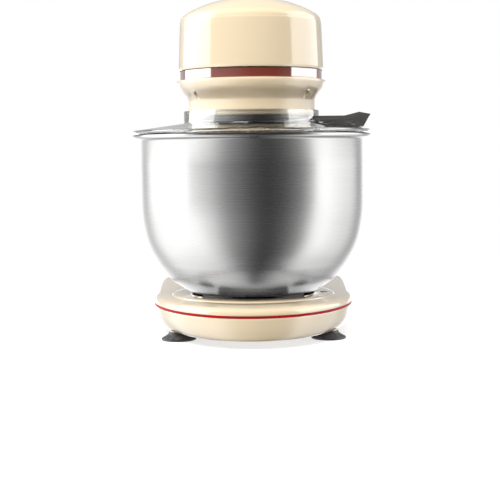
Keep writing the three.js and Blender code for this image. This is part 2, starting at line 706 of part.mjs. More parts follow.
// Coil that carries part of the head's weight, wound round the pin.
function makeCoil() {
  const turns = 4;
  const perTurn = 9;
  const steps = turns * perTurn;
  const path = [];
  for (let i = 0; i <= steps; i += 1) {
    const angle = (i / perTurn) * 2 * Math.PI;
    const x = -14 + 28 * (i / steps);
    path.push(new THREE.Vector3(x, PIVOT_Y + 8 * Math.cos(angle), PIVOT_Z + 8 * Math.sin(angle)));
  }
  const wire = new THREE.Shape();
  const sides = 5;
  for (let i = 0; i < sides; i += 1) {
    const angle = (i / sides) * 2 * Math.PI;
    const corner = [1.1 * Math.cos(angle), 1.1 * Math.sin(angle)];
    if (i === 0) {
      wire.moveTo(...corner);
    } else {
      wire.lineTo(...corner);
    }
  }
  wire.closePath();
  const curve = new THREE.CatmullRomCurve3(path);
  return solid(new THREE.ExtrudeGeometry(wire, { steps, extrudePath: curve, bevelEnabled: false }));
}

piece("balance_spring", makeCoil(), STEEL);

// Control board and switch inside the column.
const boardBox = box(-36, 8, COLUMN_FRONT + 12, COLUMN_FRONT + 14, COLUMN_BOTTOM + 40, COLUMN_BOTTOM + 110);
piece("control_board", boardBox, BOARD);

function makeSwitch() {
  const body = box(22, 40, KNOB_Y - 16, KNOB_Y + 16, KNOB_Z - 16, KNOB_Z + 16);
  return body.subtract(crossBar(28, 60, KNOB_Y, KNOB_Z, 3.6));
}

piece("speed_switch", makeSwitch(), BLACK);

// ---------------------------------------------------------------- speed knob
const KNOB_SEAT = COLUMN_HALF_WIDTH + 1;
function makeKnob() {
  const profile = [
    [0, 0],
    [KNOB_RADIUS - 0.6, 0],
    [KNOB_RADIUS, 1.2],
    [KNOB_RADIUS - 1.2, KNOB_DEPTH - 2],
    [KNOB_RADIUS - 3, KNOB_DEPTH],
    [KNOB_RADIUS - 6, KNOB_DEPTH - 1.6],
    [0, KNOB_DEPTH - 1.6],
  ];
  const points = profile.map(([radius, z]) => new THREE.Vector2(radius, z));
  const geometry = new THREE.LatheGeometry(points, 36);
  geometry.rotateZ(-Math.PI / 2);
  geometry.translate(KNOB_SEAT, KNOB_Y, KNOB_Z);
  const grip = box(KNOB_SEAT + KNOB_DEPTH - 3, KNOB_SEAT + KNOB_DEPTH + 6,
    KNOB_Y - 4, KNOB_Y + 4, KNOB_Z - 15.5, KNOB_Z + 15.5);
  const pointerSlot = box(KNOB_SEAT + KNOB_DEPTH + 4.6, KNOB_SEAT + KNOB_DEPTH + 8,
    KNOB_Y - 1.4, KNOB_Y + 1.4, KNOB_Z + 2, KNOB_Z + 14);
  const bore = crossBar(KNOB_SEAT - 2, KNOB_SEAT + 8, KNOB_Y, KNOB_Z, 3.5);
  return solid(geometry).add(grip).subtract(pointerSlot).subtract(bore);
}

piece("speed_knob", makeKnob(), BLACK);
piece("knob_pointer", box(KNOB_SEAT + KNOB_DEPTH + 4.9, KNOB_SEAT + KNOB_DEPTH + 6.3,
  KNOB_Y - 1.1, KNOB_Y + 1.1, KNOB_Z + 2.3, KNOB_Z + 13.7), RED_TRIM);
piece("knob_shaft", crossBar(29, KNOB_SEAT + 7.5, KNOB_Y, KNOB_Z, 3.1), STEEL);

// ---------------------------------------------------------------- head release
// Button on the left of the column; its bar goes round the catch and holds it from behind.
const BUTTON_TRAVEL = 5;
const CATCH_HALF = 1.6;
const buttonFace = -COLUMN_HALF_WIDTH - 7;
const NOSE_REACH = CATCH_HALF + 0.4;

function makeButton() {
  const outline = [];
  const steps = 20;
  for (let i = 0; i < steps; i += 1) {
    const angle = (i / steps) * 2 * Math.PI;
    const c = Math.cos(angle);
    const s = Math.sin(angle);
    outline.push([
      BUTTON_Y + 8 * Math.sign(c) * Math.abs(c) ** 0.6,
      BUTTON_Z + 5 * Math.sign(s) * Math.abs(s) ** 0.6,
    ]);
  }
  return sideSlab(outline, buttonFace, -COLUMN_HALF_WIDTH + 8);
}

piece("release_button", makeButton(), BLACK);

function makeLatch() {
  const barY = BUTTON_Y + 4;
  const rod = box(-COLUMN_HALF_WIDTH + 8 + GAP, 13, barY - 2, barY + 2, BUTTON_Z - 2.5, BUTTON_Z + 2.5);
  const riser = box(9, 13, barY - 2, barY + 2, BUTTON_Z, COLUMN_TOP - 9);
  const nose = box(NOSE_REACH, 13, CATCH_Y - 3, barY + 2, COLUMN_TOP - 14, COLUMN_TOP - 9);
  return rod.add(riser).add(nose);
}

piece("latch_bar", makeLatch(), STEEL);

// ---------------------------------------------------------------- head shells

function makeUpperHead() {
  const profile = [
    [NOSE_RADIUS, 0],
    [NOSE_RADIUS - 0.4, 0.2],
    [NOSE_RADIUS - 1.7, 0.61],
    [NOSE_RADIUS - 2.2, 0.674],
    [NOSE_RADIUS - 3, 0.718],
    [NOSE_RADIUS - 5.2, 0.758],
    [NOSE_RADIUS - 8.5, 0.79],
    [NOSE_RADIUS * 0.777, 0.846],
    [NOSE_RADIUS * 0.643, 0.902],
    [NOSE_RADIUS * 0.517, 0.945],
    [NOSE_RADIUS * 0.385, 0.973],
    [NOSE_RADIUS * 0.224, 0.99],
    [NOSE_RADIUS * 0.08, 1],
  ];
  const hollow = [
    [NOSE_RADIUS - WALL, -0.02],
    [NOSE_RADIUS - WALL - 0.6, 0.3],
    [NOSE_RADIUS - WALL - 2, 0.62],
    [NOSE_RADIUS - WALL - 7, 0.72],
    [NOSE_RADIUS * 0.74, 0.815],
    [NOSE_RADIUS * 0.5, 0.9],
    [NOSE_RADIUS * 0.2, 0.948],
  ];
  const rings = profile.map(([radius, share]) => headRing(radius, HEAD_Z + share * HEAD_HEIGHT));
  const outer = loft(rings.map((ring) => ring.map(droop)));
  const innerRings = hollow.map(([radius, share]) => headRing(radius, HEAD_Z + share * HEAD_HEIGHT));
  const inner = loft(innerRings.map((ring) => ring.map(droop)));
  return outer.subtract(inner);
}

piece("head_upper_shell", makeUpperHead(), CREAM);

function makeBand() {
  const ring = (radius, z, inset = 0) => headRing(radius, z, inset);
  const outer = loft([ring(NOSE_RADIUS - 1.5, BAND_Z), ring(NOSE_RADIUS - 1.5, BAND_Z + BAND_HEIGHT)]);
  const inner = loft([
    ring(NOSE_RADIUS - 1.5, BAND_Z - 1, 2.4),
    ring(NOSE_RADIUS - 1.5, BAND_Z + BAND_HEIGHT + 1, 2.4),
  ]);
  return outer.subtract(inner);
}

piece("head_band", makeBand(), RED_TRIM);

const SCREW_X = LIP_RADIUS - 21;
const SCREW_Y = -LIP_RADIUS + 31.5;
const SCREW_DEPTH = 11;
const NOTCH_RADIUS = BARREL_RADIUS + 2.5;
const HUB_BORE = HUB_RADIUS - WALL - 1.4;

function makeLowerHead() {
  const drop = SAUCER_HEIGHT;
  const profile = [
    [LIP_RADIUS - 8.6, 0],
    [LIP_RADIUS - 7.4, 0.07],
    [LIP_RADIUS - 5.2, 0.18],
    [LIP_RADIUS - 2.8, 0.33],
    [LIP_RADIUS - 1, 0.52],
    [LIP_RADIUS - 0.2, 0.7],
    [LIP_RADIUS, 0.87],
    [LIP_RADIUS - 0.5, 1],
  ];
  const outer = loft(profile.map(([radius, share]) => headRing(radius, HUB_TOP + share * drop)));
  const inner = loft([
    headRing(LIP_RADIUS - 7.4, HUB_TOP + WALL, WALL),
    headRing(LIP_RADIUS - 3.4, HUB_TOP + 0.38 * drop, WALL),
    headRing(LIP_RADIUS - 1, HUB_TOP + drop + 1, WALL),
  ]);
  const hub = turned([
    [0, HUB_BOTTOM],
    [HUB_RADIUS - 1, HUB_BOTTOM],
    [HUB_RADIUS, HUB_BOTTOM + 0.8],
    [HUB_RADIUS, HUB_BOTTOM + 1.8],
    [HUB_RADIUS - 0.9, HUB_BOTTOM + 2.2],
    [HUB_RADIUS - 0.9, HUB_BOTTOM + 4.2],
    [HUB_RADIUS, HUB_BOTTOM + 4.6],
    [HUB_RADIUS, HUB_TOP + 1],
    [0, HUB_TOP + 1],
  ]);
  const hubSpace = bar(0, 0, HUB_BOTTOM - 1, HUB_TOP + 10, HUB_BORE, HUB_BORE, ROUND);
  const notch = crossBar(-FAR, FAR, PIVOT_Y, PIVOT_Z, NOTCH_RADIUS, 36);
  const behind = box(-FAR, FAR, PIVOT_Y, HEAD_REAR + 50, HUB_TOP - 20, PIVOT_Z + NOTCH_RADIUS);
  const catchSlot = box(-7, 7, CATCH_Y - 7, CATCH_Y + 7, HUB_TOP - 1, HUB_TOP + WALL + 2);
  let shell = outer.add(hub).subtract(inner).subtract(hubSpace);
  shell = shell.subtract(notch).subtract(behind).subtract(catchSlot);
  for (const side of [-1, 1]) {
    const x = side * SCREW_X;
    const boss = bar(x, SCREW_Y, HUB_TOP + 1, HUB_TOP + SCREW_DEPTH + 4, 6.4).intersect(outer);
    const recess = bar(x, SCREW_Y, HUB_TOP - 2, HUB_TOP + SCREW_DEPTH, 4);
    const bore = bar(x, SCREW_Y, HUB_TOP, HUB_TOP + 40, 1.9);
    shell = shell.add(boss).subtract(recess).subtract(bore);
  }
  return shell;
}

piece("head_lower_shell", makeLowerHead(), CREAM);

for (const [place, side] of [["right", 1], ["left", -1]]) {
  const x = side * SCREW_X;
  const head = bar(x, SCREW_Y, HUB_TOP + SCREW_DEPTH - GAP - 2.6, HUB_TOP + SCREW_DEPTH - GAP, 3.4);
  const shank = bar(x, SCREW_Y, HUB_TOP + SCREW_DEPTH - 1, HUB_TOP + SCREW_DEPTH + 5, 1.5);
  piece(`nose_screw_${place}`, head.add(shank), DARK_STEEL);
}

// ---------------------------------------------------------------- head frame and gears
const FRAME_Z = HUB_TOP + WALL + GAP;
const FRAME_TOP = FRAME_Z + 3.2;
const MAIN_Z = FRAME_TOP + 1.6;
const GEAR_WIDTH = 7;
const FAST_Z = MAIN_Z + GEAR_WIDTH + 2.4;
const FAST_WIDTH = 7;
const AXLE_RADIUS = 3;
const SHAFT_RADIUS = 7;
const FRAME_BACK = PIVOT_Y - NOTCH_RADIUS - 2;
const MOTOR_SEAT = FAST_Z + FAST_WIDTH + 4;
const STATOR_RADIUS = 32;
const STATOR_HEIGHT = 30;

function makeFrame() {
  let frame = slab([
    [-38, -40],
    [38, -40],
    [60, 0],
    [52, 60],
    [48, 120],
    [44, FRAME_BACK],
    [-44, FRAME_BACK],
    [-48, 120],
    [-52, 60],
    [-60, 0],
  ], FRAME_Z, FRAME_TOP);
  frame = frame.subtract(bar(0, 0, FRAME_Z - 1, FRAME_TOP + 1, SHAFT_RADIUS + RUNNING));
  for (const side of [-1, 1]) {
    const postX = side * (STATOR_RADIUS + 8);
    frame = frame.add(box(postX - 3, postX + 3, MOTOR_Y - 8, MOTOR_Y + 8, FRAME_TOP - 1, MOTOR_SEAT));
    const x0 = Math.min(side * LUG_IN, side * LUG_OUT);
    const x1 = Math.max(side * LUG_IN, side * LUG_OUT);
    frame = frame.add(sideSlab([
      [FRAME_BACK - 24, FRAME_Z],
      [PIVOT_Y - 13, FRAME_Z],
      [PIVOT_Y - 10, PIVOT_Z - 4],
      [PIVOT_Y - 4, PIVOT_Z - 10],
      [PIVOT_Y + 4, PIVOT_Z - 10],
      [PIVOT_Y + 10, PIVOT_Z - 3],
      [PIVOT_Y + 10, PIVOT_Z + 4],
      [PIVOT_Y + 4, PIVOT_Z + 10.5],
      [FRAME_BACK + 4, FRAME_TOP + 9],
      [FRAME_BACK - 24, FRAME_TOP + 9],
    ], x0, x1));
  }
  const half = STATOR_RADIUS + 11;
  const bridge = box(-half, half, MOTOR_Y - 10, MOTOR_Y + 10, MOTOR_SEAT - 0.01, MOTOR_SEAT + 3);
  const bearing = bar(0, MOTOR_Y, MOTOR_SEAT - 1, MOTOR_SEAT + 4, AXLE_RADIUS + RUNNING);
  frame = frame.add(bridge).subtract(bearing);
  frame = frame.subtract(crossBar(-80, 80, PIVOT_Y, PIVOT_Z, PIN_RADIUS + GAP));
  frame = frame.add(makeCatch());
  return frame.subtract(bar(0, IDLER_Y, FRAME_Z - 1, FRAME_TOP + 1, AXLE_RADIUS + GAP));
}

// Catch that hangs into the column for the release bar.
function makeCatch() {
  const low = COLUMN_TOP - 17;
  return box(-CATCH_HALF, CATCH_HALF, CATCH_Y - 5, CATCH_Y + 1, low, FRAME_Z + 1);
}

piece("head_frame", makeFrame(), CAST);

const mainTurn = -Math.PI / 2;
const mainGear = slab(gearOutline(MAIN_TEETH, MODULE, 0, 0, mainTurn), MAIN_Z, MAIN_Z + GEAR_WIDTH);
const mainBore = bar(0, 0, MAIN_Z - 1, MAIN_Z + GEAR_WIDTH + 1, SHAFT_RADIUS + GAP);
piece("main_gear", mainGear.subtract(mainBore), GEAR_NYLON);

const FAST_TOP = FAST_Z + FAST_WIDTH;
const idlerSmallOutline = gearOutline(IDLER_SMALL_TEETH, MODULE, 0, IDLER_Y, -Math.PI / 2);
const idlerLargeOutline = gearOutline(IDLER_LARGE_TEETH, FAST_MODULE, 0, IDLER_Y, Math.PI / 2);
const idlerSmall = slab(idlerSmallOutline, MAIN_Z, FAST_Z);
const idlerLarge = slab(idlerLargeOutline, FAST_Z - 0.01, FAST_TOP);
const idlerBore = bar(0, IDLER_Y, MAIN_Z - 1, FAST_TOP + 1, AXLE_RADIUS + RUNNING);
piece("idler_gear", idlerSmall.add(idlerLarge).subtract(idlerBore), GEAR_NYLON);
piece("idler_axle", bar(0, IDLER_Y, FRAME_Z, FAST_TOP + 2, AXLE_RADIUS), STEEL);

// ---------------------------------------------------------------- motor
const motorShaftBottom = FAST_Z - 0.5;
const motorShaftTop = MOTOR_SEAT + 3 + STATOR_HEIGHT + 16;
piece("motor_shaft", bar(0, MOTOR_Y, motorShaftBottom, motorShaftTop, AXLE_RADIUS), STEEL);
const pinionTurn = -Math.PI / 2 + Math.PI / MOTOR_TEETH;
const pinionSolid = slab(gearOutline(MOTOR_TEETH, FAST_MODULE, 0, MOTOR_Y, pinionTurn), FAST_Z, FAST_TOP);
const pinionBore = bar(0, MOTOR_Y, FAST_Z - 1, FAST_TOP + 1, AXLE_RADIUS + GAP);
piece("motor_pinion", pinionSolid.subtract(pinionBore), STEEL);

const STATOR_Z = MOTOR_SEAT + 3 + GAP;

function makeStator() {
  const body = turnedRing([
    [STATOR_RADIUS - 9, STATOR_Z],
    [STATOR_RADIUS, STATOR_Z],
    [STATOR_RADIUS, STATOR_Z + STATOR_HEIGHT],
    [STATOR_RADIUS - 9, STATOR_Z + STATOR_HEIGHT],
  ], 36, 0, MOTOR_Y);
  const flats = STATOR_RADIUS - 3;
  const top = STATOR_Z + STATOR_HEIGHT;
  return body
    .subtract(box(flats, flats + 20, MOTOR_Y - 40, MOTOR_Y + 40, STATOR_Z - 1, top + 1))
    .subtract(box(-flats - 20, -flats, MOTOR_Y - 40, MOTOR_Y + 40, STATOR_Z - 1, top + 1));
}

piece("motor_stator", makeStator(), DARK_STEEL);

const rotorOuter = STATOR_RADIUS - 9 - RUNNING;
const rotorRing = turnedRing([
  [AXLE_RADIUS + GAP, STATOR_Z + 3],
  [rotorOuter, STATOR_Z + 3],
  [rotorOuter, STATOR_Z + STATOR_HEIGHT - 3],
  [AXLE_RADIUS + GAP, STATOR_Z + STATOR_HEIGHT - 3],
], 36, 0, MOTOR_Y);
piece("motor_rotor", rotorRing, COPPER);

const COMMUTATOR_Z = STATOR_Z + STATOR_HEIGHT;
const commutator = turnedRing([
  [AXLE_RADIUS + GAP, COMMUTATOR_Z],
  [9, COMMUTATOR_Z],
  [9, COMMUTATOR_Z + 9],
  [AXLE_RADIUS + GAP, COMMUTATOR_Z + 9],
], SMALL_ROUND, 0, MOTOR_Y);
piece("commutator", commutator, COPPER);

for (const [place, side] of [["right", 1], ["left", -1]]) {
  const near = 9.6;
  const x0 = Math.min(side * near, side * (near + 14));
  const x1 = Math.max(side * near, side * (near + 14));
  const holder = box(x0, x1, MOTOR_Y - 4, MOTOR_Y + 4, COMMUTATOR_Z + GAP, COMMUTATOR_Z + 8);
  piece(`brush_holder_${place}`, holder, BLACK);
}

// ---------------------------------------------------------------- planetary drive
const RING_Z = HUB_BOTTOM + 2.5;
const RING_WIDTH = 9;
const CARRIER_Z = HUB_BOTTOM - 4.9;
const CARRIER_TOP = HUB_BOTTOM - 0.3;
const CARRIER_RADIUS = HUB_RADIUS - 6.5;

const RING_TOP = RING_Z + RING_WIDTH;
const ringBody = bar(0, 0, RING_Z, RING_TOP, HUB_BORE - GAP, HUB_BORE - GAP, ROUND);
const ringCut = slab(ringSpace(RING_TEETH, MODULE, Math.PI / RING_TEETH), RING_Z - 1, RING_TOP + 1);
piece("ring_gear", ringBody.subtract(ringCut), DARK_STEEL);

const mainShaft = bar(0, 0, CARRIER_TOP + GAP, MAIN_Z + GEAR_WIDTH + 1.5, SHAFT_RADIUS);
piece("main_shaft", mainShaft, STEEL);

function makeCarrier() {
  const plate = turned([
    [0, CARRIER_Z - 1.6],
    [CARRIER_RADIUS - 12, CARRIER_Z - 1.6],
    [CARRIER_RADIUS - 4, CARRIER_Z - 0.6],
    [CARRIER_RADIUS, CARRIER_Z + 1],
    [CARRIER_RADIUS, CARRIER_TOP],
    [0, CARRIER_TOP],
  ]);
  const boss = turned([
    [0, CARRIER_Z - 9],
    [10, CARRIER_Z - 9],
    [11.5, CARRIER_Z - 7.6],
    [14, CARRIER_Z],
    [0, CARRIER_Z],
  ], SMALL_ROUND, 0, TOOL_OFFSET);
  const bore = bar(0, TOOL_OFFSET, CARRIER_Z - 20, CARRIER_TOP + 5, TOOL_RADIUS + RUNNING);
  return plate.add(boss).subtract(bore);
}

const TOOL_RADIUS = 5;
piece("planet_carrier", makeCarrier(), BLACK);

const planetOutline = gearOutline(PLANET_TEETH, MODULE, 0, TOOL_OFFSET, Math.PI / 2);
const planetSolid = slab(planetOutline, RING_Z + 0.8, RING_TOP - 0.8);
const planetBore = bar(0, TOOL_OFFSET, RING_Z, RING_TOP, TOOL_RADIUS + GAP);
piece("planet_pinion", planetSolid.subtract(planetBore), STEEL);

// ---------------------------------------------------------------- tool
const BEATER_TOP = RIM_Z - 38;
const BEATER_FLOOR = BOWL_BOTTOM + 7;
const BEATER_SPAN = BEATER_TOP - BEATER_FLOOR;
const shaftFoot = BEATER_TOP - 4;
const pinZ = BEATER_TOP + 17;
const toolShaft = bar(0, TOOL_OFFSET, shaftFoot, RING_TOP, TOOL_RADIUS)
  .subtract(crossBar(-20, 20, TOOL_OFFSET, pinZ, 1.9));
piece("tool_shaft", toolShaft, STEEL);
piece("tool_pin", crossBar(-8.6, 8.6, TOOL_OFFSET, pinZ, 1.6), STEEL);

// Flat beater: a paddle with a window and three ribs, on a sleeve.
function makeBeater() {
  const shapeAt = (inset) => [
    [0.22, 0],
    [0.52, 0],
    [0.72, 0.09],
    [0.88, 0.26],
    [0.94, 0.5],
    [0.9, 0.74],
    [0.66, 0.93],
    [0.3, 1],
  ].map(([across, up]) => [
    Math.max(1, BEATER_HALF * across - inset),
    BEATER_FLOOR + inset + (BEATER_SPAN - 2 * inset) * up,
  ]);
  const whole = (inset) => {
    const right = shapeAt(inset);
    const left = right.map(([x, z]) => [-x, z]).reverse();
    return [...right, ...left];
  };
  const y0 = TOOL_OFFSET - 3.2;
  const y1 = TOOL_OFFSET + 3.2;
  let beater = frontSlab(whole(0), y0, y1).subtract(frontSlab(whole(7.5), y0 - 1, y1 + 1));
  beater = beater.add(box(-3, 3, y0 + 0.4, y1 - 0.4, BEATER_FLOOR + 3, BEATER_TOP - 4));
  for (const share of [0.32, 0.6]) {
    const z = BEATER_FLOOR + BEATER_SPAN * share;
    const reach = BEATER_HALF * 0.84;
    beater = beater.add(box(-reach, reach, y0 + 0.6, y1 - 0.6, z - 2.6, z + 2.6));
  }
  const sleeve = turned([
    [0, BEATER_TOP - 10],
    [9, BEATER_TOP - 10],
    [9.5, BEATER_TOP - 4],
    [9.5, BEATER_TOP + 12],
    [8.2, BEATER_TOP + 14],
    [0, BEATER_TOP + 14],
  ], SMALL_ROUND, 0, TOOL_OFFSET);
  const bore = bar(0, TOOL_OFFSET, shaftFoot - GAP, BEATER_TOP + 40, TOOL_RADIUS + GAP);
  return beater.add(sleeve).subtract(bore);
}

const BEATER_HALF = 52;
piece("flat_beater", makeBeater(), CAST);

// ---------------------------------------------------------------- splash guard
const COLLAR_INNER = HUB_RADIUS + RUNNING;
const COLLAR_OUTER = HUB_RADIUS + 2.6;
const COLLAR_TOP = HUB_BOTTOM + 5.6;
const FLANGE_START = HUB_BOTTOM - 6.4;
const FLANGE_END = GUARD_BOTTOM + 3.4;

function flangeTop(radius) {
  const share = (radius - COLLAR_OUTER) / (RIM_RADIUS - 2 - COLLAR_OUTER);
  return FLANGE_START + (FLANGE_END - FLANGE_START) * share;
}

function makeGuard() {
  let guard = turnedRing([
    [COLLAR_INNER, FLANGE_START - 2],
    [RIM_RADIUS - 9, flangeTop(RIM_RADIUS - 9) - 2],
    [RIM_RADIUS - 6.4, GUARD_BOTTOM],
    [RIM_RADIUS, GUARD_BOTTOM],
    [RIM_RADIUS, GUARD_BOTTOM + 2],
    [RIM_RADIUS - 0.6, FLANGE_END - 0.4],
    [RIM_RADIUS - 2, FLANGE_END],
    [COLLAR_OUTER, FLANGE_START],
    [COLLAR_OUTER, COLLAR_TOP - 0.4],
    [COLLAR_OUTER - 0.5, COLLAR_TOP],
    [COLLAR_INNER + 0.3, COLLAR_TOP],
    [COLLAR_INNER, COLLAR_TOP - 0.5],
  ], ROUND);
  const ribs = 3;
  const span = 0.16;
  for (let i = 0; i < ribs; i += 1) {
    const middle = Math.PI / 2 + (i * 2 * Math.PI) / ribs;
    const rib = sectorOutline(HUB_RADIUS - 0.4, COLLAR_INNER + 0.4, middle - span, middle + span, 4);
    guard = guard.add(slab(rib, HUB_BOTTOM + 2.6, HUB_BOTTOM + 3.8));
  }
  const halfMouth = CHUTE_HALF - 3;
  const mouth = box(CHUTE_IN + 2.6, CHUTE_MOUTH - 2, -halfMouth, halfMouth, GUARD_BOTTOM - 5, HUB_BOTTOM + 4);
  const collarZone = bar(0, 0, 0, CROWN_Z, COLLAR_OUTER + 1.6, COLLAR_OUTER + 1.6, ROUND);
  return guard.subtract(mouth.subtract(collarZone));
}

const CHUTE_IN = COLLAR_OUTER + 0.4;
const CHUTE_MOUTH = RIM_RADIUS - 9.5;
const CHUTE_HALF = 29;
const CHUTE_TIP = RIM_RADIUS - 2.3;
piece("splash_guard", makeGuard(), CLEAR);

// Feed chute: a dark trough clipped on the guard, open above and below.
function makeChute() {
  const low = 0.5;
  const side = [
    [50, flangeTop(60) + low],
    [CHUTE_IN + 1, flangeTop(CHUTE_IN + 1) + low],
    [CHUTE_MOUTH, flangeTop(CHUTE_MOUTH) + low],
    [CHUTE_TIP - 2, HUB_BOTTOM - 2.2],
    [CHUTE_TIP, HUB_BOTTOM + 0.8],
    [CHUTE_TIP - 11.2, HUB_BOTTOM + 3],
    [CHUTE_IN + 23, HUB_BOTTOM - 0.5],
    [50, HUB_BOTTOM - 0.5],
  ];
  const wall = 2.2;
  const hollow = [
    [CHUTE_IN + wall, GUARD_BOTTOM - 4],
    [CHUTE_MOUTH - wall, GUARD_BOTTOM - 4],
    [CHUTE_MOUTH - wall, flangeTop(CHUTE_MOUTH) + low],
    [CHUTE_TIP - 2 - wall, HUB_BOTTOM - 2.2],
    [CHUTE_TIP - wall, HUB_BOTTOM + 20],
    [CHUTE_IN + wall, HUB_BOTTOM + 20],
  ];
  const body = frontSlab(side, -CHUTE_HALF, CHUTE_HALF);
  const collarSpace = bar(0, 0, 0, CROWN_Z, COLLAR_OUTER + GAP, COLLAR_OUTER + GAP, ROUND);
  const inside = frontSlab(hollow, -CHUTE_HALF + wall, CHUTE_HALF - wall)
    .subtract(bar(0, 0, 0, CROWN_Z, COLLAR_OUTER + GAP + wall, COLLAR_OUTER + GAP + wall, ROUND));
  return body.subtract(inside).subtract(collarSpace);
}

piece("feed_chute", makeChute(), SMOKED);

// ---------------------------------------------------------------- bowl
const WALL_SHAPE = [
  [0.5, 0],
  [0.575, 0.013],
  [0.63, 0.034],
  [0.7, 0.068],
  [0.755, 0.102],
  [0.8, 0.142],
  [0.863, 0.205],
  [0.913, 0.27],
  [0.957, 0.35],
  [0.9937, 0.4945],
  [1, 0.562],
];

function makeBowl() {
  const outer = WALL_SHAPE.map(([r, h]) => [BOWL_RADIUS * r, BOWL_BOTTOM + (BOWL_HEIGHT - 3.2) * h]);
  const inner = WALL_SHAPE.filter((_, i) => i % 2 === 0).map(([r, h]) => [
    BOWL_RADIUS * r - BOWL_WALL,
    BOWL_BOTTOM + (BOWL_HEIGHT - 3.2) * h + BOWL_WALL * (1 - h),
  ]).reverse();
  return turned([
    [0, BOWL_BOTTOM],
    ...outer,
    [BOWL_RADIUS, RIM_Z - 5],
    [RIM_RADIUS - 3.6, RIM_Z - 4.4],
    [RIM_RADIUS - 1, RIM_Z - 3.8],
    [RIM_RADIUS, RIM_Z - 2.4],
    [RIM_RADIUS - 0.4, RIM_Z - 0.8],
    [RIM_RADIUS - 2, RIM_Z],
    [BOWL_RADIUS + 0.6, RIM_Z - 0.5],
    [BOWL_RADIUS - BOWL_WALL, RIM_Z - 3],
    ...inner,
    [0, BOWL_BOTTOM + BOWL_WALL],
  ]);
}

piece("mixing_bowl", makeBowl(), STEEL);

function makeBowlFoot() {
  const bottom = SEAT_Z + 1;
  let foot = turnedRing([
    [FOOT_RING_RADIUS - 3.5, bottom],
    [FOOT_RING_RADIUS, bottom],
    [FOOT_RING_RADIUS, BOWL_BOTTOM - GAP],
    [FOOT_RING_RADIUS - 3.5, BOWL_BOTTOM - GAP],
  ]);
  const span = THREE.MathUtils.degToRad(9);
  for (const middle of HOOK_ANGLES) {
    const lug = slab(
      sectorOutline(FOOT_RING_RADIUS - 1, FOOT_RING_RADIUS + LUG_REACH, middle - span, middle + span, 3),
      LUG_Z, LUG_Z + LUG_HEIGHT);
    foot = foot.add(lug);
  }
  return foot;
}

piece("bowl_foot", makeBowlFoot(), STEEL);

// The origin goes under the middle of the whole machine.
group.position.y = -(HEAD_REAR - RIM_RADIUS) / 2;

export default group;
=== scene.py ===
"""Looks of a tilt-head stand mixer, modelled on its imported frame."""

import json
import logging
import math
from dataclasses import dataclass, field
from enum import Enum
from typing import Iterable, Sequence

import bmesh
import bpy
from mathutils import Matrix, Vector


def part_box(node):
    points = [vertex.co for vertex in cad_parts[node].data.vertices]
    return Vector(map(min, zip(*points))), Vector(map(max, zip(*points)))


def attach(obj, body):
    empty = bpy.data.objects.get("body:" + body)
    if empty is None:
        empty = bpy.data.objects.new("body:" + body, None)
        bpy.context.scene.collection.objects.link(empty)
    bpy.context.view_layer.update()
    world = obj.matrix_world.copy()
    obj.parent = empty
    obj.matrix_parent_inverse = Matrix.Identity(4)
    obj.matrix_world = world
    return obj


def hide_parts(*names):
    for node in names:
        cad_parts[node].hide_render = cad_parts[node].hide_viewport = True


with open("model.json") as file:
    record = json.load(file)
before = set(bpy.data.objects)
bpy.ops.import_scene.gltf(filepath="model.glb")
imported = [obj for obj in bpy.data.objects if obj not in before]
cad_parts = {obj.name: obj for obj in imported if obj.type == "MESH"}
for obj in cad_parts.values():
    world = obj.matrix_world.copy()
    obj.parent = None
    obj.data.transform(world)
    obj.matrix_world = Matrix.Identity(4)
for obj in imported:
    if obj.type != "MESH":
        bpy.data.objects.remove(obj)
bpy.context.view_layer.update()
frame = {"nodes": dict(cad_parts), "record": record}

MM = 0.001
UNMIRRORED = ("base_deck", "base_tray")  # the bowl's polish doesn't pick up the cream base
MARK_ROUGHNESS = 0.18
DUST_ROUGHNESS = 0.3
DUST_COLOUR = (0.55, 0.53, 0.5, 1)

Point = tuple[float, float, float]
Flat = tuple[float, float]
Thing = bpy.types.Object
Socket = bpy.types.NodeSocket

log = logging.getLogger("mixer")


class Ends(Enum):
    """How the two ends of a skinned stack of rings are finished."""

    OPEN = "open"
    CAPPED = "capped"
    JOINED = "joined"


class Cut(Enum):
    """What a second solid does to the first."""

    AWAY = "DIFFERENCE"
    TOGETHER = "UNION"


class Kind(Enum):
    """Sockets of the shared shader groups."""

    VALUE = "NodeSocketFloat"
    COLOUR = "NodeSocketColor"


# ---------------------------------------------------------------- shape sums
def easing(t: float) -> float:
    """Smooth step.

    Args:
        t: Share of the way, 0 to 1.

    Returns:
        The eased share.
    """
    return t * t * (3 - 2 * t)


def spline(keys: Sequence[tuple[float, ...]], per: int) -> list[tuple[float, ...]]:
    """Smooth run of points through the keys.

    Args:
        keys: Points of any one length.
        per: Points made for each stretch between two keys.

    Returns:
        The points, first and last key included.
    """
    out: list[tuple[float, ...]] = []
    last = len(keys) - 1
    for i in range(last):
        before, here = keys[max(i - 1, 0)], keys[i]
        there, after = keys[i + 1], keys[min(i + 2, last)]
        for step in range(per):
            t = step / per
            out.append(tuple(
                0.5 * (2 * b + (c - a) * t + (2 * a - 5 * b + 4 * c - d) * t * t
                       + (3 * b - a - 3 * c + d) * t ** 3)
                for a, b, c, d in zip(before, here, there, after)
            ))
    out.append(tuple(keys[last]))
    return out


def arc(centre: Flat, radius: float, start: float, end: float, steps: int) -> list[Flat]:
    """Points along a round.

    Args:
        centre: Middle of the round.
        radius: Its radius.
        start: First angle in degrees.
        end: Last angle in degrees.
        steps: Stretches between points.

    Returns:
        The points, both ends included.
    """
    turns = [math.radians(start + (end - start) * i / steps) for i in range(steps + 1)]
    return [(centre[0] + radius * math.cos(a), centre[1] + radius * math.sin(a)) for a in turns]


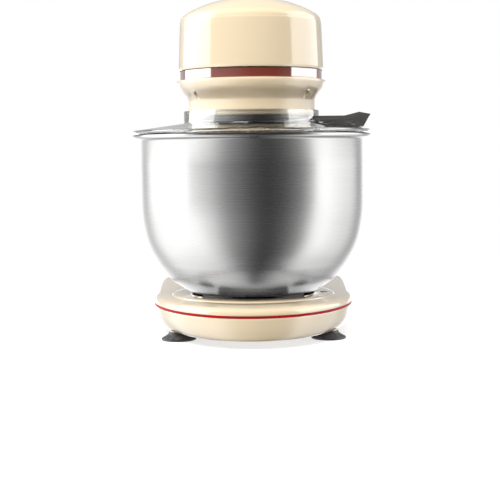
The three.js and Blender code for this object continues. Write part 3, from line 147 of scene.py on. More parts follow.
def offset(profile: Sequence[Flat], distance: float) -> list[Flat]:
    """Profile moved to its left by a distance.

    Args:
        profile: Open run of points.
        distance: How far it moves.

    Returns:
        The moved points.
    """
    moved = []
    for i, (x, y) in enumerate(profile):
        ahead = profile[min(i + 1, len(profile) - 1)]
        behind = profile[max(i - 1, 0)]
        run = Vector((ahead[0] - behind[0], ahead[1] - behind[1])).normalized()
        moved.append((max(0.0, x - run.y * distance), y + run.x * distance))
    return moved


def mirrored(half: Sequence[Flat], z: float) -> list[Point]:
    """Whole ring from its right half, front to back.

    Args:
        half: Points of the right half.
        z: Level of the ring.

    Returns:
        The ring.
    """
    right = [(x, y, z) for x, y in half]
    left = [(-x, y, z) for x, y in reversed(half[1:-1])]
    return right + left


# ---------------------------------------------------------------- modelling moves
@dataclass(frozen=True)
class Bench:
    """Modelling moves. Sizes are in millimetres, measured from the bowl axis and the floor."""

    axis: Flat

    def place(self, point: Sequence[float]) -> Vector:
        """Point of the drawing in the frame.

        Args:
            point: Millimetres from the bowl axis and the floor.

        Returns:
            Metres in the frame.
        """
        return Vector(((point[0] + self.axis[0]) * MM, (point[1] + self.axis[1]) * MM, point[2] * MM))

    def pick(self, piece: Thing) -> None:
        """Makes a piece the only one picked.

        Args:
            piece: The piece.
        """
        bpy.ops.object.select_all(action="DESELECT")
        piece.select_set(True)
        bpy.context.view_layer.objects.active = piece

    def skin(self, name: str, rings: Sequence[Sequence[Point]], ends: Ends = Ends.OPEN) -> Thing:
        """Draws a ring, pulls it from level to level and closes the ends.

        Args:
            name: Name of the piece.
            rings: Rings of equal count.
            ends: What becomes of the first and last ring.

        Returns:
            The piece.
        """
        bpy.ops.object.select_all(action="DESELECT")
        bpy.ops.mesh.primitive_circle_add(vertices=len(rings[0]), radius=0.1, location=(0, 0, 0))
        piece = bpy.context.active_object
        piece.name = name
        piece.data.name = name
        bpy.ops.object.mode_set(mode="EDIT")
        bpy.ops.mesh.select_mode(type="VERT")
        bpy.ops.mesh.select_all(action="SELECT")
        mesh = bmesh.from_edit_mesh(piece.data)
        order = mesh.verts.layers.int.new("order")
        for index, vert in enumerate(mesh.verts):
            vert[order] = index
        self.settle(piece, rings[0])
        for ring in rings[1:]:
            bpy.ops.mesh.extrude_region_move()
            self.settle(piece, ring)
        if ends is Ends.CAPPED:
            bpy.ops.mesh.edge_face_add()
            bpy.ops.mesh.select_all(action="DESELECT")
            bpy.ops.mesh.select_non_manifold()
            bpy.ops.mesh.edge_face_add()
        bpy.ops.mesh.select_all(action="SELECT")
        bpy.ops.mesh.remove_doubles(threshold=0.000004)
        bpy.ops.mesh.normals_make_consistent(inside=False)
        bpy.ops.object.mode_set(mode="OBJECT")
        piece.data.attributes.remove(piece.data.attributes["order"])
        return piece

    def settle(self, piece: Thing, ring: Sequence[Point]) -> None:
        """Puts the picked ring of points in its place.

        Args:
            piece: Piece being shaped.
            ring: Where each point goes.
        """
        mesh = bmesh.from_edit_mesh(piece.data)
        order = mesh.verts.layers.int["order"]
        for vert in mesh.verts:
            if vert.select:
                vert.co = self.place(ring[vert[order]])
        bmesh.update_edit_mesh(piece.data, loop_triangles=False)

    def turned(self, name: str, profile: Sequence[Flat], facets: int = 96,
               centre: Flat = (0, 0), ends: Ends = Ends.OPEN) -> Thing:
        """Piece turned about an upright line.

        Args:
            name: Name of the piece.
            profile: Radius and height pairs.
            facets: Points round it.
            centre: Where the line stands.
            ends: What becomes of the first and last ring.

        Returns:
            The piece.
        """
        angles = [2 * math.pi * i / facets for i in range(facets)]
        rings = [
            [(centre[0] + r * math.sin(a), centre[1] - r * math.cos(a), z) for a in angles]
            for r, z in profile
        ]
        return self.skin(name, rings, ends)

    def crosswise(self, name: str, profile: Sequence[Flat], y: float, z: float, facets: int = 64) -> Thing:
        """Piece turned about a line along X.

        Args:
            name: Name of the piece.
            profile: Radius and x pairs.
            y: Depth of the line.
            z: Height of the line.
            facets: Points round it.

        Returns:
            The piece.
        """
        angles = [2 * math.pi * i / facets for i in range(facets)]
        rings = [[(x, y + r * math.cos(a), z + r * math.sin(a)) for a in angles] for r, x in profile]
        return self.skin(name, rings, Ends.CAPPED if profile[0][0] > 0 else Ends.OPEN)

    def slab(self, name: str, outline: Sequence[Point], pull: Point) -> Thing:
        """Flat outline pulled into a solid.

        Args:
            name: Name of the piece.
            outline: Corners in order.
            pull: How far and which way.

        Returns:
            The piece.
        """
        far = [tuple(a + b for a, b in zip(point, pull)) for point in outline]
        return self.skin(name, [list(outline), far], Ends.CAPPED)

    def block(self, name: str, low: Point, high: Point) -> Thing:
        """Square-cornered block.

        Args:
            name: Name of the piece.
            low: Lowest corner.
            high: Highest corner.

        Returns:
            The piece.
        """
        corners = [(low[0], low[1]), (high[0], low[1]), (high[0], high[1]), (low[0], high[1])]
        return self.slab(name, [(x, y, low[2]) for x, y in corners], (0, 0, high[2] - low[2]))

    def bar(self, name: str, centre: Flat, low: float, high: float, radius: float) -> Thing:
        """Upright round bar.

        Args:
            name: Name of the piece.
            centre: Where it stands.
            low: Its foot.
            high: Its top.
            radius: Its radius.

        Returns:
            The piece.
        """
        return self.turned(name, [(radius, low), (radius, high)], 48, centre, Ends.CAPPED)

    def cut(self, piece: Thing, tools: Iterable[Thing], how: Cut = Cut.AWAY) -> Thing:
        """Takes solids away from a piece or joins them to it.

        Args:
            piece: Piece being worked on.
            tools: The other solids, used up.
            how: Away or together.

        Returns:
            The piece.
        """
        for tool in tools:
            self.pick(piece)
            modifier = piece.modifiers.new("cut", "BOOLEAN")
            modifier.operation = how.value
            modifier.solver = "EXACT"
            modifier.object = tool
            bpy.ops.object.modifier_apply(modifier=modifier.name)
            bpy.data.objects.remove(tool, do_unlink=True)
        return piece

    def ease_edges(self, piece: Thing, width: float, segments: int = 2, angle: float = 40) -> Thing:
        """Rounds the sharp edges of a piece.

        Args:
            piece: Piece being worked on.
            width: Width of the round.
            segments: Facets across the round.
            angle: Edges sharper than this are rounded, in degrees.

        Returns:
            The piece.
        """
        self.pick(piece)
        modifier = piece.modifiers.new("ease", "BEVEL")
        modifier.width = width * MM
        modifier.segments = segments
        modifier.limit_method = "ANGLE"
        modifier.angle_limit = math.radians(angle)
        bpy.ops.object.modifier_apply(modifier=modifier.name)
        return piece

    def wall(self, piece: Thing, thickness: float) -> Thing:
        """Gives an open skin a wall on its inside.

        Args:
            piece: Piece being worked on.
            thickness: Thickness of the wall.

        Returns:
            The piece.
        """
        self.pick(piece)
        modifier = piece.modifiers.new("wall", "SOLIDIFY")
        modifier.thickness = thickness * MM
        modifier.offset = -1
        bpy.ops.object.modifier_apply(modifier=modifier.name)
        return piece

    def split(self, piece: Thing, rear_name: str, y: float, gap: float) -> tuple[Thing, Thing]:
        """Saws a piece across into a front and a rear part.

        Args:
            piece: Piece being sawn.
            rear_name: Name of the rear part.
            y: Depth of the saw cut.
            gap: Width of the saw cut.

        Returns:
            Front and rear part.
        """
        rear = piece.copy()
        rear.data = piece.data.copy()
        rear.name = rear_name
        rear.data.name = rear_name
        bpy.context.scene.collection.objects.link(rear)
        for part, level, front in ((piece, y, True), (rear, y + gap, False)):
            self.pick(part)
            bpy.ops.object.mode_set(mode="EDIT")
            bpy.ops.mesh.select_all(action="SELECT")
            bpy.ops.mesh.bisect(
                plane_co=self.place((0, level, 0)), plane_no=(0, 1, 0),
                use_fill=True, clear_outer=front, clear_inner=not front,
            )
            bpy.ops.object.mode_set(mode="OBJECT")
        return piece, rear

    def hand_over(self, piece: Thing, body: str, finish: "Finish", stands_for: Sequence[str],
                  crease: float = 32) -> Thing:
        """Smooths, paints and fixes a finished piece to its body.

        Args:
            piece: The finished piece.
            body: Body it rides on.
            finish: Its finish.
            stands_for: Frame nodes it is shown in place of.
            crease: Edges sharper than this stay crisp, in degrees.

        Returns:
            The piece.
        """
        self.pick(piece)
        bpy.ops.object.transform_apply(location=True, rotation=True, scale=True)
        bpy.ops.object.shade_smooth_by_angle(angle=math.radians(crease))
        piece.data.materials.clear()
        piece.data.materials.append(finish.material())
        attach(piece, body)
        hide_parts(*stands_for)
        log.info("%s: %d faces on %s", piece.name, len(piece.data.polygons), body)
        return piece


# ---------------------------------------------------------------- shader drawing
class Drawing:
    """A node tree being drawn."""

    def __init__(self, tree: bpy.types.NodeTree) -> None:
        """Starts on an empty tree.

        Args:
            tree: The tree.
        """
        self.tree = tree
        tree.nodes.clear()

    def add(self, kind: str, inputs: dict | None = None, **settings: object) -> bpy.types.Node:
        """Adds one node.

        Args:
            kind: Node type.
            inputs: Sockets or plain values by input name.
            **settings: Attributes of the node.

        Returns:
            The node.
        """
        node = self.tree.nodes.new(kind)
        for key, value in settings.items():
            setattr(node, key, value)
        for key, value in (inputs or {}).items():
            if isinstance(value, Socket):
                self.tree.links.new(value, node.inputs[key])
            else:
                node.inputs[key].default_value = value
        return node

    def sum(self, operation: str, first: object, second: object = 0.0, clamp: bool = False) -> Socket:
        """Adds a sum of two values.

        Args:
            operation: Kind of sum.
            first: Socket or value.
            second: Socket or value.
            clamp: Whether the answer is kept between 0 and 1.

        Returns:
            The answer.
        """
        node = self.add("ShaderNodeMath", {0: first, 1: second}, operation=operation, use_clamp=clamp)
        return node.outputs[0]

    def span(self, value: Socket, low: float, high: float, to_low: float = 0, to_high: float = 1) -> Socket:
        """Stretches a range of values to another.

        Args:
            value: The value.
            low: Start of its range.
            high: End of its range.
            to_low: What the start becomes.
            to_high: What the end becomes.

        Returns:
            The stretched value.
        """
        names = ("Value", "From Min", "From Max", "To Min", "To Max")
        node = self.add("ShaderNodeMapRange", dict(zip(names, (value, low, high, to_low, to_high))))
        return node.outputs["Result"]

    def blend(self, share: object, first: object, second: object) -> Socket:
        """Mixes two colours.

        Args:
            share: Share of the second.
            first: Colour or socket.
            second: Colour or socket.

        Returns:
            The mixed colour.
        """
        node = self.add("ShaderNodeMix", {0: share, 6: first, 7: second}, data_type="RGBA")
        return node.outputs[2]

    def coordinates(self, stretch: Point) -> Socket:
        """Object coordinates stretched along each axis.

        Args:
            stretch: Stretch along X, Y and Z.

        Returns:
            The coordinates.
        """
        place = self.add("ShaderNodeTexCoord").outputs["Object"]
        return self.add("ShaderNodeMapping", {"Vector": place, "Scale": stretch}).outputs[0]


class Group(Drawing):
    """A shader group shared by several finishes."""

    def __init__(self, name: str) -> None:
        """Starts an empty group.

        Args:
            name: Name of the group.
        """
        super().__init__(bpy.data.node_groups.new(name, "ShaderNodeTree"))
        self.entry = self.tree.nodes.new("NodeGroupInput")
        self.exit = self.tree.nodes.new("NodeGroupOutput")

    def take(self, label: str, kind: Kind, value: object) -> Socket:
        """Adds a named input.

        Args:
            label: Its name.
            kind: Value or colour.
            value: What it is unless set.

        Returns:
            The socket to draw from.
        """
        socket = self.tree.interface.new_socket(label, in_out="INPUT", socket_type=kind.value)
        socket.default_value = value
        return self.entry.outputs[label]

    def give(self, label: str, kind: Kind, source: Socket) -> None:
        """Adds a named output.

        Args:
            label: Its name.
            kind: Value or colour.
            source: What it puts out.
        """
        self.tree.interface.new_socket(label, in_out="OUTPUT", socket_type=kind.value)
        self.tree.links.new(source, self.exit.inputs[label])

    def noise(self, scale: object, stretch: Point = (1, 1, 1), detail: float = 3) -> Socket:
        """Adds a cloud of values.

        Args:
            scale: Clouds to a metre.
            stretch: Stretch of the coordinates.
            detail: Fineness.

        Returns:
            The cloud.
        """
        place = self.coordinates(stretch)
        node = self.add("ShaderNodeTexNoise", {"Vector": place, "Scale": scale, "Detail": detail})
        return node.outputs["Fac"]


class Effects:
    """The shared groups, drawn once."""

    def __init__(self) -> None:
        """Draws every group."""
        self.grain = self.draw_grain()
        self.marks = self.draw_marks()
        self.dust = self.draw_dust()
        self.drift = self.draw_drift()
        self.brushing = self.draw_brushing()
        self.wear = self.draw_wear()

    def draw_grain(self) -> bpy.types.NodeTree:
        """Fine texture left by the mould or the casting.

        Returns:
            The group.
        """
        group = Group("fine_grain")
        scale = group.take("Scale", Kind.VALUE, 900.0)
        depth = group.take("Depth", Kind.VALUE, 0.5)
        fine = group.noise(scale, detail=4)
        ripple = group.noise(group.sum("MULTIPLY", scale, 0.045), detail=2)
        both = group.sum("ADD", fine, group.sum("MULTIPLY", ripple, 2.0))
        group.give("Height", Kind.VALUE, group.sum("MULTIPLY", both, depth))
        return group.tree

    def draw_marks(self) -> bpy.types.NodeTree:
        """Faint smears and hairline scratches from use.

        Returns:
            The group.
        """
        group = Group("handling_marks")
        amount = group.take("Amount", Kind.VALUE, 0.5)
        smear = group.span(group.noise(14, (1, 1, 0.6), 4), 0.52, 0.72)
        hair = group.span(group.noise(60, (1, 0.08, 2.2), 2), 0.66, 0.7)
        both = group.sum("MAXIMUM", group.sum("MULTIPLY", smear, 0.7), group.sum("MULTIPLY", hair, 0.5))
        group.give("Mask", Kind.VALUE, group.sum("MULTIPLY", both, amount, clamp=True))
        return group.tree

    def draw_dust(self) -> bpy.types.NodeTree:
        """Dust that settles on faces that look up.

        Returns:
            The group.
        """
        group = Group("settled_dust")
        amount = group.take("Amount", Kind.VALUE, 0.3)
        normal = group.add("ShaderNodeTexCoord").outputs["Normal"]
        height = group.add("ShaderNodeSeparateXYZ", {0: normal}).outputs["Z"]
        facing = group.span(height, 0.6, 1.0)
        speck = group.span(group.noise(320, detail=5), 0.42, 0.75)
        both = group.sum("MULTIPLY", facing, speck)
        group.give("Mask", Kind.VALUE, group.sum("MULTIPLY", both, amount, clamp=True))
        return group.tree

    def draw_drift(self) -> bpy.types.NodeTree:
        """Slow change of shade across a moulding.

        Returns:
            The group.
        """
        group = Group("colour_drift")
        colour = group.take("Color", Kind.COLOUR, (1, 1, 1, 1))
        amount = group.take("Amount", Kind.VALUE, 0.05)
        cloud = group.sum("SUBTRACT", group.noise(9, detail=2), 0.5)
        fleck = group.sum("SUBTRACT", group.noise(210, detail=3), 0.5)
        both = group.sum("ADD", cloud, group.sum("MULTIPLY", fleck, 0.35))
        share = group.sum("MULTIPLY_ADD", both, amount)
        share.node.inputs[2].default_value = 1.0
        tint = group.add("ShaderNodeVectorMath", {0: colour, "Scale": share}, operation="SCALE")
        group.give("Color", Kind.COLOUR, tint.outputs[0])
        return group.tree

    def draw_brushing(self) -> bpy.types.NodeTree:
        """Lines left by a brush that ran level round the piece.

        Returns:
            The group.
        """
        group = Group("brushed_lines")
        density = group.take("Density", Kind.VALUE, 1.0)
        fine = group.noise(density, (9, 9, 3800), 3)
        broad = group.noise(density, (12, 12, 1500), 2)
        lines = group.sum("ADD", group.sum("MULTIPLY", fine, 0.7), group.sum("MULTIPLY", broad, 0.3))
        group.give("Height", Kind.VALUE, lines)
        group.give("Mask", Kind.VALUE, group.span(lines, 0.35, 0.65))
        return group.tree

    def draw_wear(self) -> bpy.types.NodeTree:
        """Brighter metal along edges.

        Returns:
            The group.
        """
        group = Group("edge_wear")
        amount = group.take("Amount", Kind.VALUE, 0.5)
        edge = group.add("ShaderNodeNewGeometry").outputs["Pointiness"]
        rub = group.span(edge, 0.51, 0.56)
        patch = group.span(group.noise(40, detail=4), 0.4, 0.65)
        both = group.sum("MULTIPLY", rub, patch)
        group.give("Mask", Kind.VALUE, group.sum("MULTIPLY", both, amount, clamp=True))
        return group.tree


@dataclass(frozen=True)
class Finish:
    """A moulded, cast or ground surface. Base of every finish."""

    slot: str
    colour: Point
    effects: Effects = field(repr=False, compare=False)
    roughness: float = 0.4
    metallic: float = 0.0
    ior: float = 1.5
    coat: float = 0.0
    grain_scale: float = 900.0
    grain_depth: float = 0.3
    drift: float = 0.06
    marks: float = 0.15
    dust: float = 0.0
    wear: float = 0.0
    relief: float = 0.1
    variant: str = ""

    def material(self) -> bpy.types.Material:
        """Material of the finish, drawn the first time it is asked for.

        Returns:
            The material.
        """
        name = f"mixer_{self.slot}{self.variant}"
        found = bpy.data.materials.get(name)
        if found is not None:
            return found
        material = bpy.data.materials.new(name)
        material.use_nodes = True
        self.draw(Drawing(material.node_tree))
        return material

    def draw(self, sheet: Drawing) -> bpy.types.Node:
        """Draws the finish.

        Args:
            sheet: Tree to draw on.

        Returns:
            The surface shader.
        """
        marks = self.effect(sheet, self.effects.marks, {"Amount": self.marks}).outputs["Mask"]
        dust = self.effect(sheet, self.effects.dust, {"Amount": self.dust}).outputs["Mask"]
        inputs = {"Color": (*self.colour, 1), "Amount": self.drift}
        drift = self.effect(sheet, self.effects.drift, inputs).outputs["Color"]
        worn = drift
        if self.wear:
            edge = self.effect(sheet, self.effects.wear, {"Amount": self.wear}).outputs["Mask"]
            worn = sheet.blend(edge, drift, tuple(min(1, c * 1.8 + 0.08) for c in self.colour) + (1,))
        dusty = sheet.blend(dust, worn, DUST_COLOUR)
        smeared = sheet.sum("MULTIPLY_ADD", marks, MARK_ROUGHNESS)
        smeared.node.inputs[2].default_value = self.roughness
        rough = sheet.sum("ADD", smeared, sheet.sum("MULTIPLY", dust, DUST_ROUGHNESS), clamp=True)
        values = {"Scale": self.grain_scale, "Depth": self.grain_depth}
        grain = self.effect(sheet, self.effects.grain, values).outputs["Height"]
        bump = sheet.add("ShaderNodeBump", {"Height": grain, "Strength": self.relief, "Distance": 0.0004})
        shader = sheet.add("ShaderNodeBsdfPrincipled", {
            "Base Color": dusty, "Roughness": rough, "Normal": bump.outputs[0],
            "Metallic": self.metallic, "IOR": self.ior, "Coat Weight": self.coat, "Coat Roughness": 0.04,
        })
        sheet.add("ShaderNodeOutputMaterial", {"Surface": shader.outputs[0]})
        return shader

    def effect(self, sheet: Drawing, tree: bpy.types.NodeTree, inputs: dict) -> bpy.types.Node:
        """Puts a shared group on the drawing.

        Args:
            sheet: Tree to draw on.
            tree: The group.
            inputs: Its inputs.

        Returns:
            The group node.
        """
        node = sheet.add("ShaderNodeGroup", node_tree=tree)
        for key, value in inputs.items():
            node.inputs[key].default_value = value
        return node


@dataclass(frozen=True)
class BrushedSteel(Finish):
    """Steel brushed level round the piece, so that it shines in upright streaks."""

    anisotropy: float = 0.7
    stretch_turn: float = 0.25
    density: float = 1.0
    line_roughness: float = 0.05
    line_relief: float = 0.05
    line_share: float = 0.12
    line_colour: Point = (0.4, 0.4, 0.395)

    def draw(self, sheet: Drawing) -> bpy.types.Node:
        """Draws the brushed finish.

        Args:
            sheet: Tree to draw on.

        Returns:
            The surface shader.
        """
        shader = super().draw(sheet)
        lines = self.effect(sheet, self.effects.brushing, {"Density": self.density})
        rough = shader.inputs["Roughness"].links[0].from_socket
        streak = sheet.sum("MULTIPLY_ADD", lines.outputs["Mask"], self.line_roughness)
        sheet.tree.links.new(rough, streak.node.inputs[2])
        sheet.tree.links.new(streak, shader.inputs["Roughness"])
        bump = sheet.add("ShaderNodeBump", {
            "Height": lines.outputs["Height"], "Strength": self.line_relief, "Distance": 0.0001,
            "Normal": shader.inputs["Normal"].links[0].from_socket,
        })
        sheet.tree.links.new(bump.outputs[0], shader.inputs["Normal"])
        tint = shader.inputs["Base Color"].links[0].from_socket
        share = sheet.sum("MULTIPLY", lines.outputs["Mask"], self.line_share)
        shade = sheet.blend(share, tint, (*self.line_colour, 1))
        sheet.tree.links.new(shade, shader.inputs["Base Color"])
        shader.inputs["Anisotropic"].default_value = self.anisotropy
        shader.inputs["Anisotropic Rotation"].default_value = self.stretch_turn
        tangent = sheet.add("ShaderNodeTangent", direction_type="RADIAL", axis="Z")
        sheet.tree.links.new(tangent.outputs[0], shader.inputs["Tangent"])
        return shader


@dataclass(frozen=True)
class ClearPlastic(Finish):
    """See-through moulding."""

    def draw(self, sheet: Drawing) -> bpy.types.Node:
        """Draws the see-through finish.

        Args:
            sheet: Tree to draw on.

        Returns:
            The surface shader.
        """
        shader = super().draw(sheet)
        shader.inputs["Transmission Weight"].default_value = 1.0
        shader.inputs["Specular IOR Level"].default_value = 1.0
        shader.inputs["Coat IOR"].default_value = 1.7
        return shader


class Palette:
    """Every finish of the machine, by the record's slot."""

    def __init__(self) -> None:
        """Mixes the finishes."""
        fx = Effects()
        grey = (0.3, 0.31, 0.33)
        made = [
            Finish("cream_plastic", (0.78, 0.635, 0.425), fx, 0.3, coat=1.0, grain_depth=0.05, drift=0.03,
                   marks=0.12, dust=0.06),
            Finish("red_trim", (0.2, 0.028, 0.012), fx, 0.04, ior=2.6, coat=1.0, grain_depth=0.01,
                   marks=0.05, relief=0.01),
            BrushedSteel("bowl_steel", (0.29, 0.29, 0.288), fx, 0.24, metallic=1.0, grain_depth=0.04,
                         marks=0.1),
            Finish("shaft_steel", (0.6, 0.61, 0.62), fx, 0.24, metallic=1.0, marks=0.4, wear=0.3),
            Finish("dark_steel", grey, fx, 0.42, metallic=1.0, marks=0.4, wear=0.5, grain_scale=500),
            Finish("cast_alloy", (0.55, 0.56, 0.57), fx, 0.46, metallic=1.0, grain_scale=380, grain_depth=1.4,
                   marks=0.5, wear=0.6),
            Finish("black_plastic", (0.012, 0.011, 0.009), fx, 0.34, grain_depth=0.8, drift=0.3, marks=0.3,
                   dust=0.1, wear=0.15),
            Finish("rubber", (0.035, 0.034, 0.034), fx, 0.5, grain_scale=600, grain_depth=1.2, drift=0.3,
                   marks=0.5, dust=0.2),
            ClearPlastic("clear_plastic", (0.97, 0.985, 0.98), fx, 0.0, ior=1.4, coat=1.0, grain_depth=0.002,
                         drift=0.01, marks=0.03, relief=0.001),
            Finish("smoked_plastic", (0.075, 0.073, 0.07), fx, 0.12, coat=0.8, grain_depth=0.15, drift=0.2,
                   marks=0.15),
            Finish("copper", (0.55, 0.24, 0.11), fx, 0.4, metallic=1.0, grain_scale=300, grain_depth=2.0,
                   drift=0.3, marks=0.4),
            Finish("nylon", (0.74, 0.7, 0.6), fx, 0.45, grain_depth=0.5, drift=0.12, marks=0.4),
            Finish("board_green", (0.02, 0.13, 0.06), fx, 0.4, coat=0.3, grain_scale=420, grain_depth=1.0,
                   drift=0.4, marks=0.2),
            Finish("iron", (0.16, 0.155, 0.15), fx, 0.6, metallic=0.8, grain_scale=260, grain_depth=2.0,
                   drift=0.3, marks=0.5, wear=0.4),
        ]
        self.finishes = {finish.slot: finish for finish in made}
        # Lighter, duller copy of the red trim for the base's seam strip: painted light, brightening the seam
        # that the overhanging bowl keeps in shade.
        self.seam = Finish("red_trim", (0.5, 0.003, 0.01), fx, 0.45, ior=1.2, grain_depth=0.1,
                           variant="_seam")
        # Near-black copies of the bowl steel and the dark steel for the bowl's foot and seat ring: painted
        # shade, standing in for the shadow under the bowl.
        self.foot = BrushedSteel("bowl_steel", (0.05, 0.048, 0.045), fx, 0.5, metallic=1.0, variant="_foot")
        self.seat = Finish("dark_steel", (0.06, 0.055, 0.05), fx, 0.6, metallic=0.6, variant="_seat")

    def __getitem__(self, slot: str) -> Finish:
        """Finish of a slot.

        Args:
            slot: The record's slot.

        Returns:
            The finish.
        """
        return self.finishes[slot]

    def dress_frame(self) -> None:
        """Gives every node of the frame the material of its slot; the bowl's foot and seat ring then get
        near-black copies as painted shade.
        """
        for part in frame["record"]["subparts"]:
            node = frame["nodes"][part["node"]]
            node.data.materials.clear()
            node.data.materials.append(self[part["material_slot"]].material())
        # Painted shade: the bowl's foot and seat ring go near black, as the shadow under the bowl.
        for name, finish in (("bowl_foot", self.foot), ("bowl_seat_ring", self.seat)):
            frame["nodes"][name].data.materials[0] = finish.material()


# ---------------------------------------------------------------- what the frame says
class Datum:
    """Boxes of the frame's nodes in millimetres from the bowl axis."""

    def __init__(self) -> None:
        """Finds the bowl axis."""
        low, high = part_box("mixing_bowl")
        self.axis: Flat = ((low.x + high.x) / 2 / MM, (low.y + high.y) / 2 / MM)

    def box(self, node: str) -> tuple[Vector, Vector]:
        """Box of one node.

        Args:
            node: Its name.

        Returns:
            Lowest and highest corner.
        """
        shift = Vector((*self.axis, 0))
        low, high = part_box(node)
        return low / MM - shift, high / MM - shift

    def middle(self, node: str) -> Vector:
        """Middle of one node.

        Args:
            node: Its name.

        Returns:
            The middle of its box.
        """
        low, high = self.box(node)
        return (low + high) / 2


@dataclass
class HeadPlan:
    """Outline of the head at any level: round nose, sides drawing in, rounded back."""

    nose_radius: float
    rear: float
    head_z: float
    crown_z: float
    rear_half: float = 58
    tail: float = 36
    drop: float = 34
    drop_start: float = 30
    nose_steps: int = 40
    side_steps: int = 12
    tail_steps: int = 18

    def ring(self, radius: float, z: float, inset: float = 0) -> list[Point]:
        """Ring of the head where the nose has a given radius.

        Args:
            radius: Radius of the nose there.
            z: Level.
            inset: How far the ring is drawn in.

        Returns:
            The ring.
        """
        share = radius / self.nose_radius
        nose = radius - inset
        rear_half = self.rear_half * share - inset
        tail = self.tail * share - inset
        back = self.rear - self.tail
        half: list[Flat] = []
        for i in range(self.nose_steps + 1):
            a = math.pi / 2 * i / self.nose_steps
            half.append((nose * math.sin(a), -nose * math.cos(a)))
        for i in range(1, self.side_steps + 1):
            t = i / self.side_steps
            half.append((nose + (rear_half - nose) * easing(t), back * t))
        for i in range(1, self.tail_steps):
            a = math.pi / 2 * i / self.tail_steps
            half.append((rear_half * math.cos(a) ** 0.8, back + tail * math.sin(a) ** 0.8))
        half.append((0, back + tail))
        return mirrored(half, z)

    def circle(self, radius: float, z: float) -> list[Point]:
        """Round ring with as many points as a ring of the head.

        Args:
            radius: Its radius.
            z: Level.

        Returns:
            The ring.
        """
        rest = self.side_steps + self.tail_steps
        turns = [90 * i / self.nose_steps for i in range(self.nose_steps + 1)]
        turns += [90 + 90 * i / rest for i in range(1, rest + 1)]
        half = [(radius * math.sin(math.radians(a)), -radius * math.cos(math.radians(a))) for a in turns]
        half[-1] = (0, radius)
        return mirrored(half, z)

    def droop(self, ring: Sequence[Point]) -> list[Point]:
        """Lets the crown come down towards the back.

        Args:
            ring: Ring of the head.

        Returns:
            The lowered ring.
        """
        height = self.crown_z - self.head_z
        out = []
        for x, y, z in ring:
            along = max(0.0, (y - self.drop_start) / (self.rear - self.drop_start))
            high = max(0.0, min(1.0, (z - self.head_z) / height))
            out.append((x, y, z - self.drop * along ** 1.8 * high))
        return out


@dataclass
class BasePlan:
    """Outline of the base: half an ellipse in front, sides nearly straight, rounded back."""

    half_width: float
    front: float
    rear: float
    nose_y: float = 28
    nose_step: float = 4
    tail: float = 58
    nose_steps: int = 40
    side_steps: int = 10
    tail_steps: int = 20

    def ring(self, side: float, front: float, rear: float, z: float) -> list[Point]:
        """Ring of the base.

        Args:
            side: Share of the full width.
            front: Share of the full reach in front.
            rear: Share of the full reach behind.
            z: Level.

        Returns:
            The ring.
        """
        nose_half = (self.half_width - self.nose_step) * side
        wide = self.half_width * side
        depth = self.nose_y - self.front
        back = self.rear - self.tail
        tail = self.tail - (1 - rear) * self.rear
        half: list[Flat] = []
        for i in range(self.nose_steps + 1):
            a = math.pi / 2 * i / self.nose_steps
            half.append((nose_half * math.sin(a), self.nose_y - depth * front * math.cos(a)))
        for i in range(1, self.side_steps + 1):
            t = i / self.side_steps
            half.append((nose_half + (wide - nose_half) * easing(t), self.nose_y + (back - self.nose_y) * t))
        for i in range(1, self.tail_steps):
            a = math.pi / 2 * i / self.tail_steps
            half.append((wide * math.cos(a) ** 0.75, back + tail * math.sin(a) ** 0.75))
        half.append((0, back + tail))
        return mirrored(half, z)

    def rings(self, keys: Sequence[tuple[float, float, float, float]], per: int) -> list[list[Point]]:
        """Smooth stack of rings through the keys.

        Args:
            keys: Side, front and rear share and level of each key.
            per: Rings for each stretch.

        Returns:
            The rings.
        """
        return [self.ring(*key) for key in spline(keys, per)]


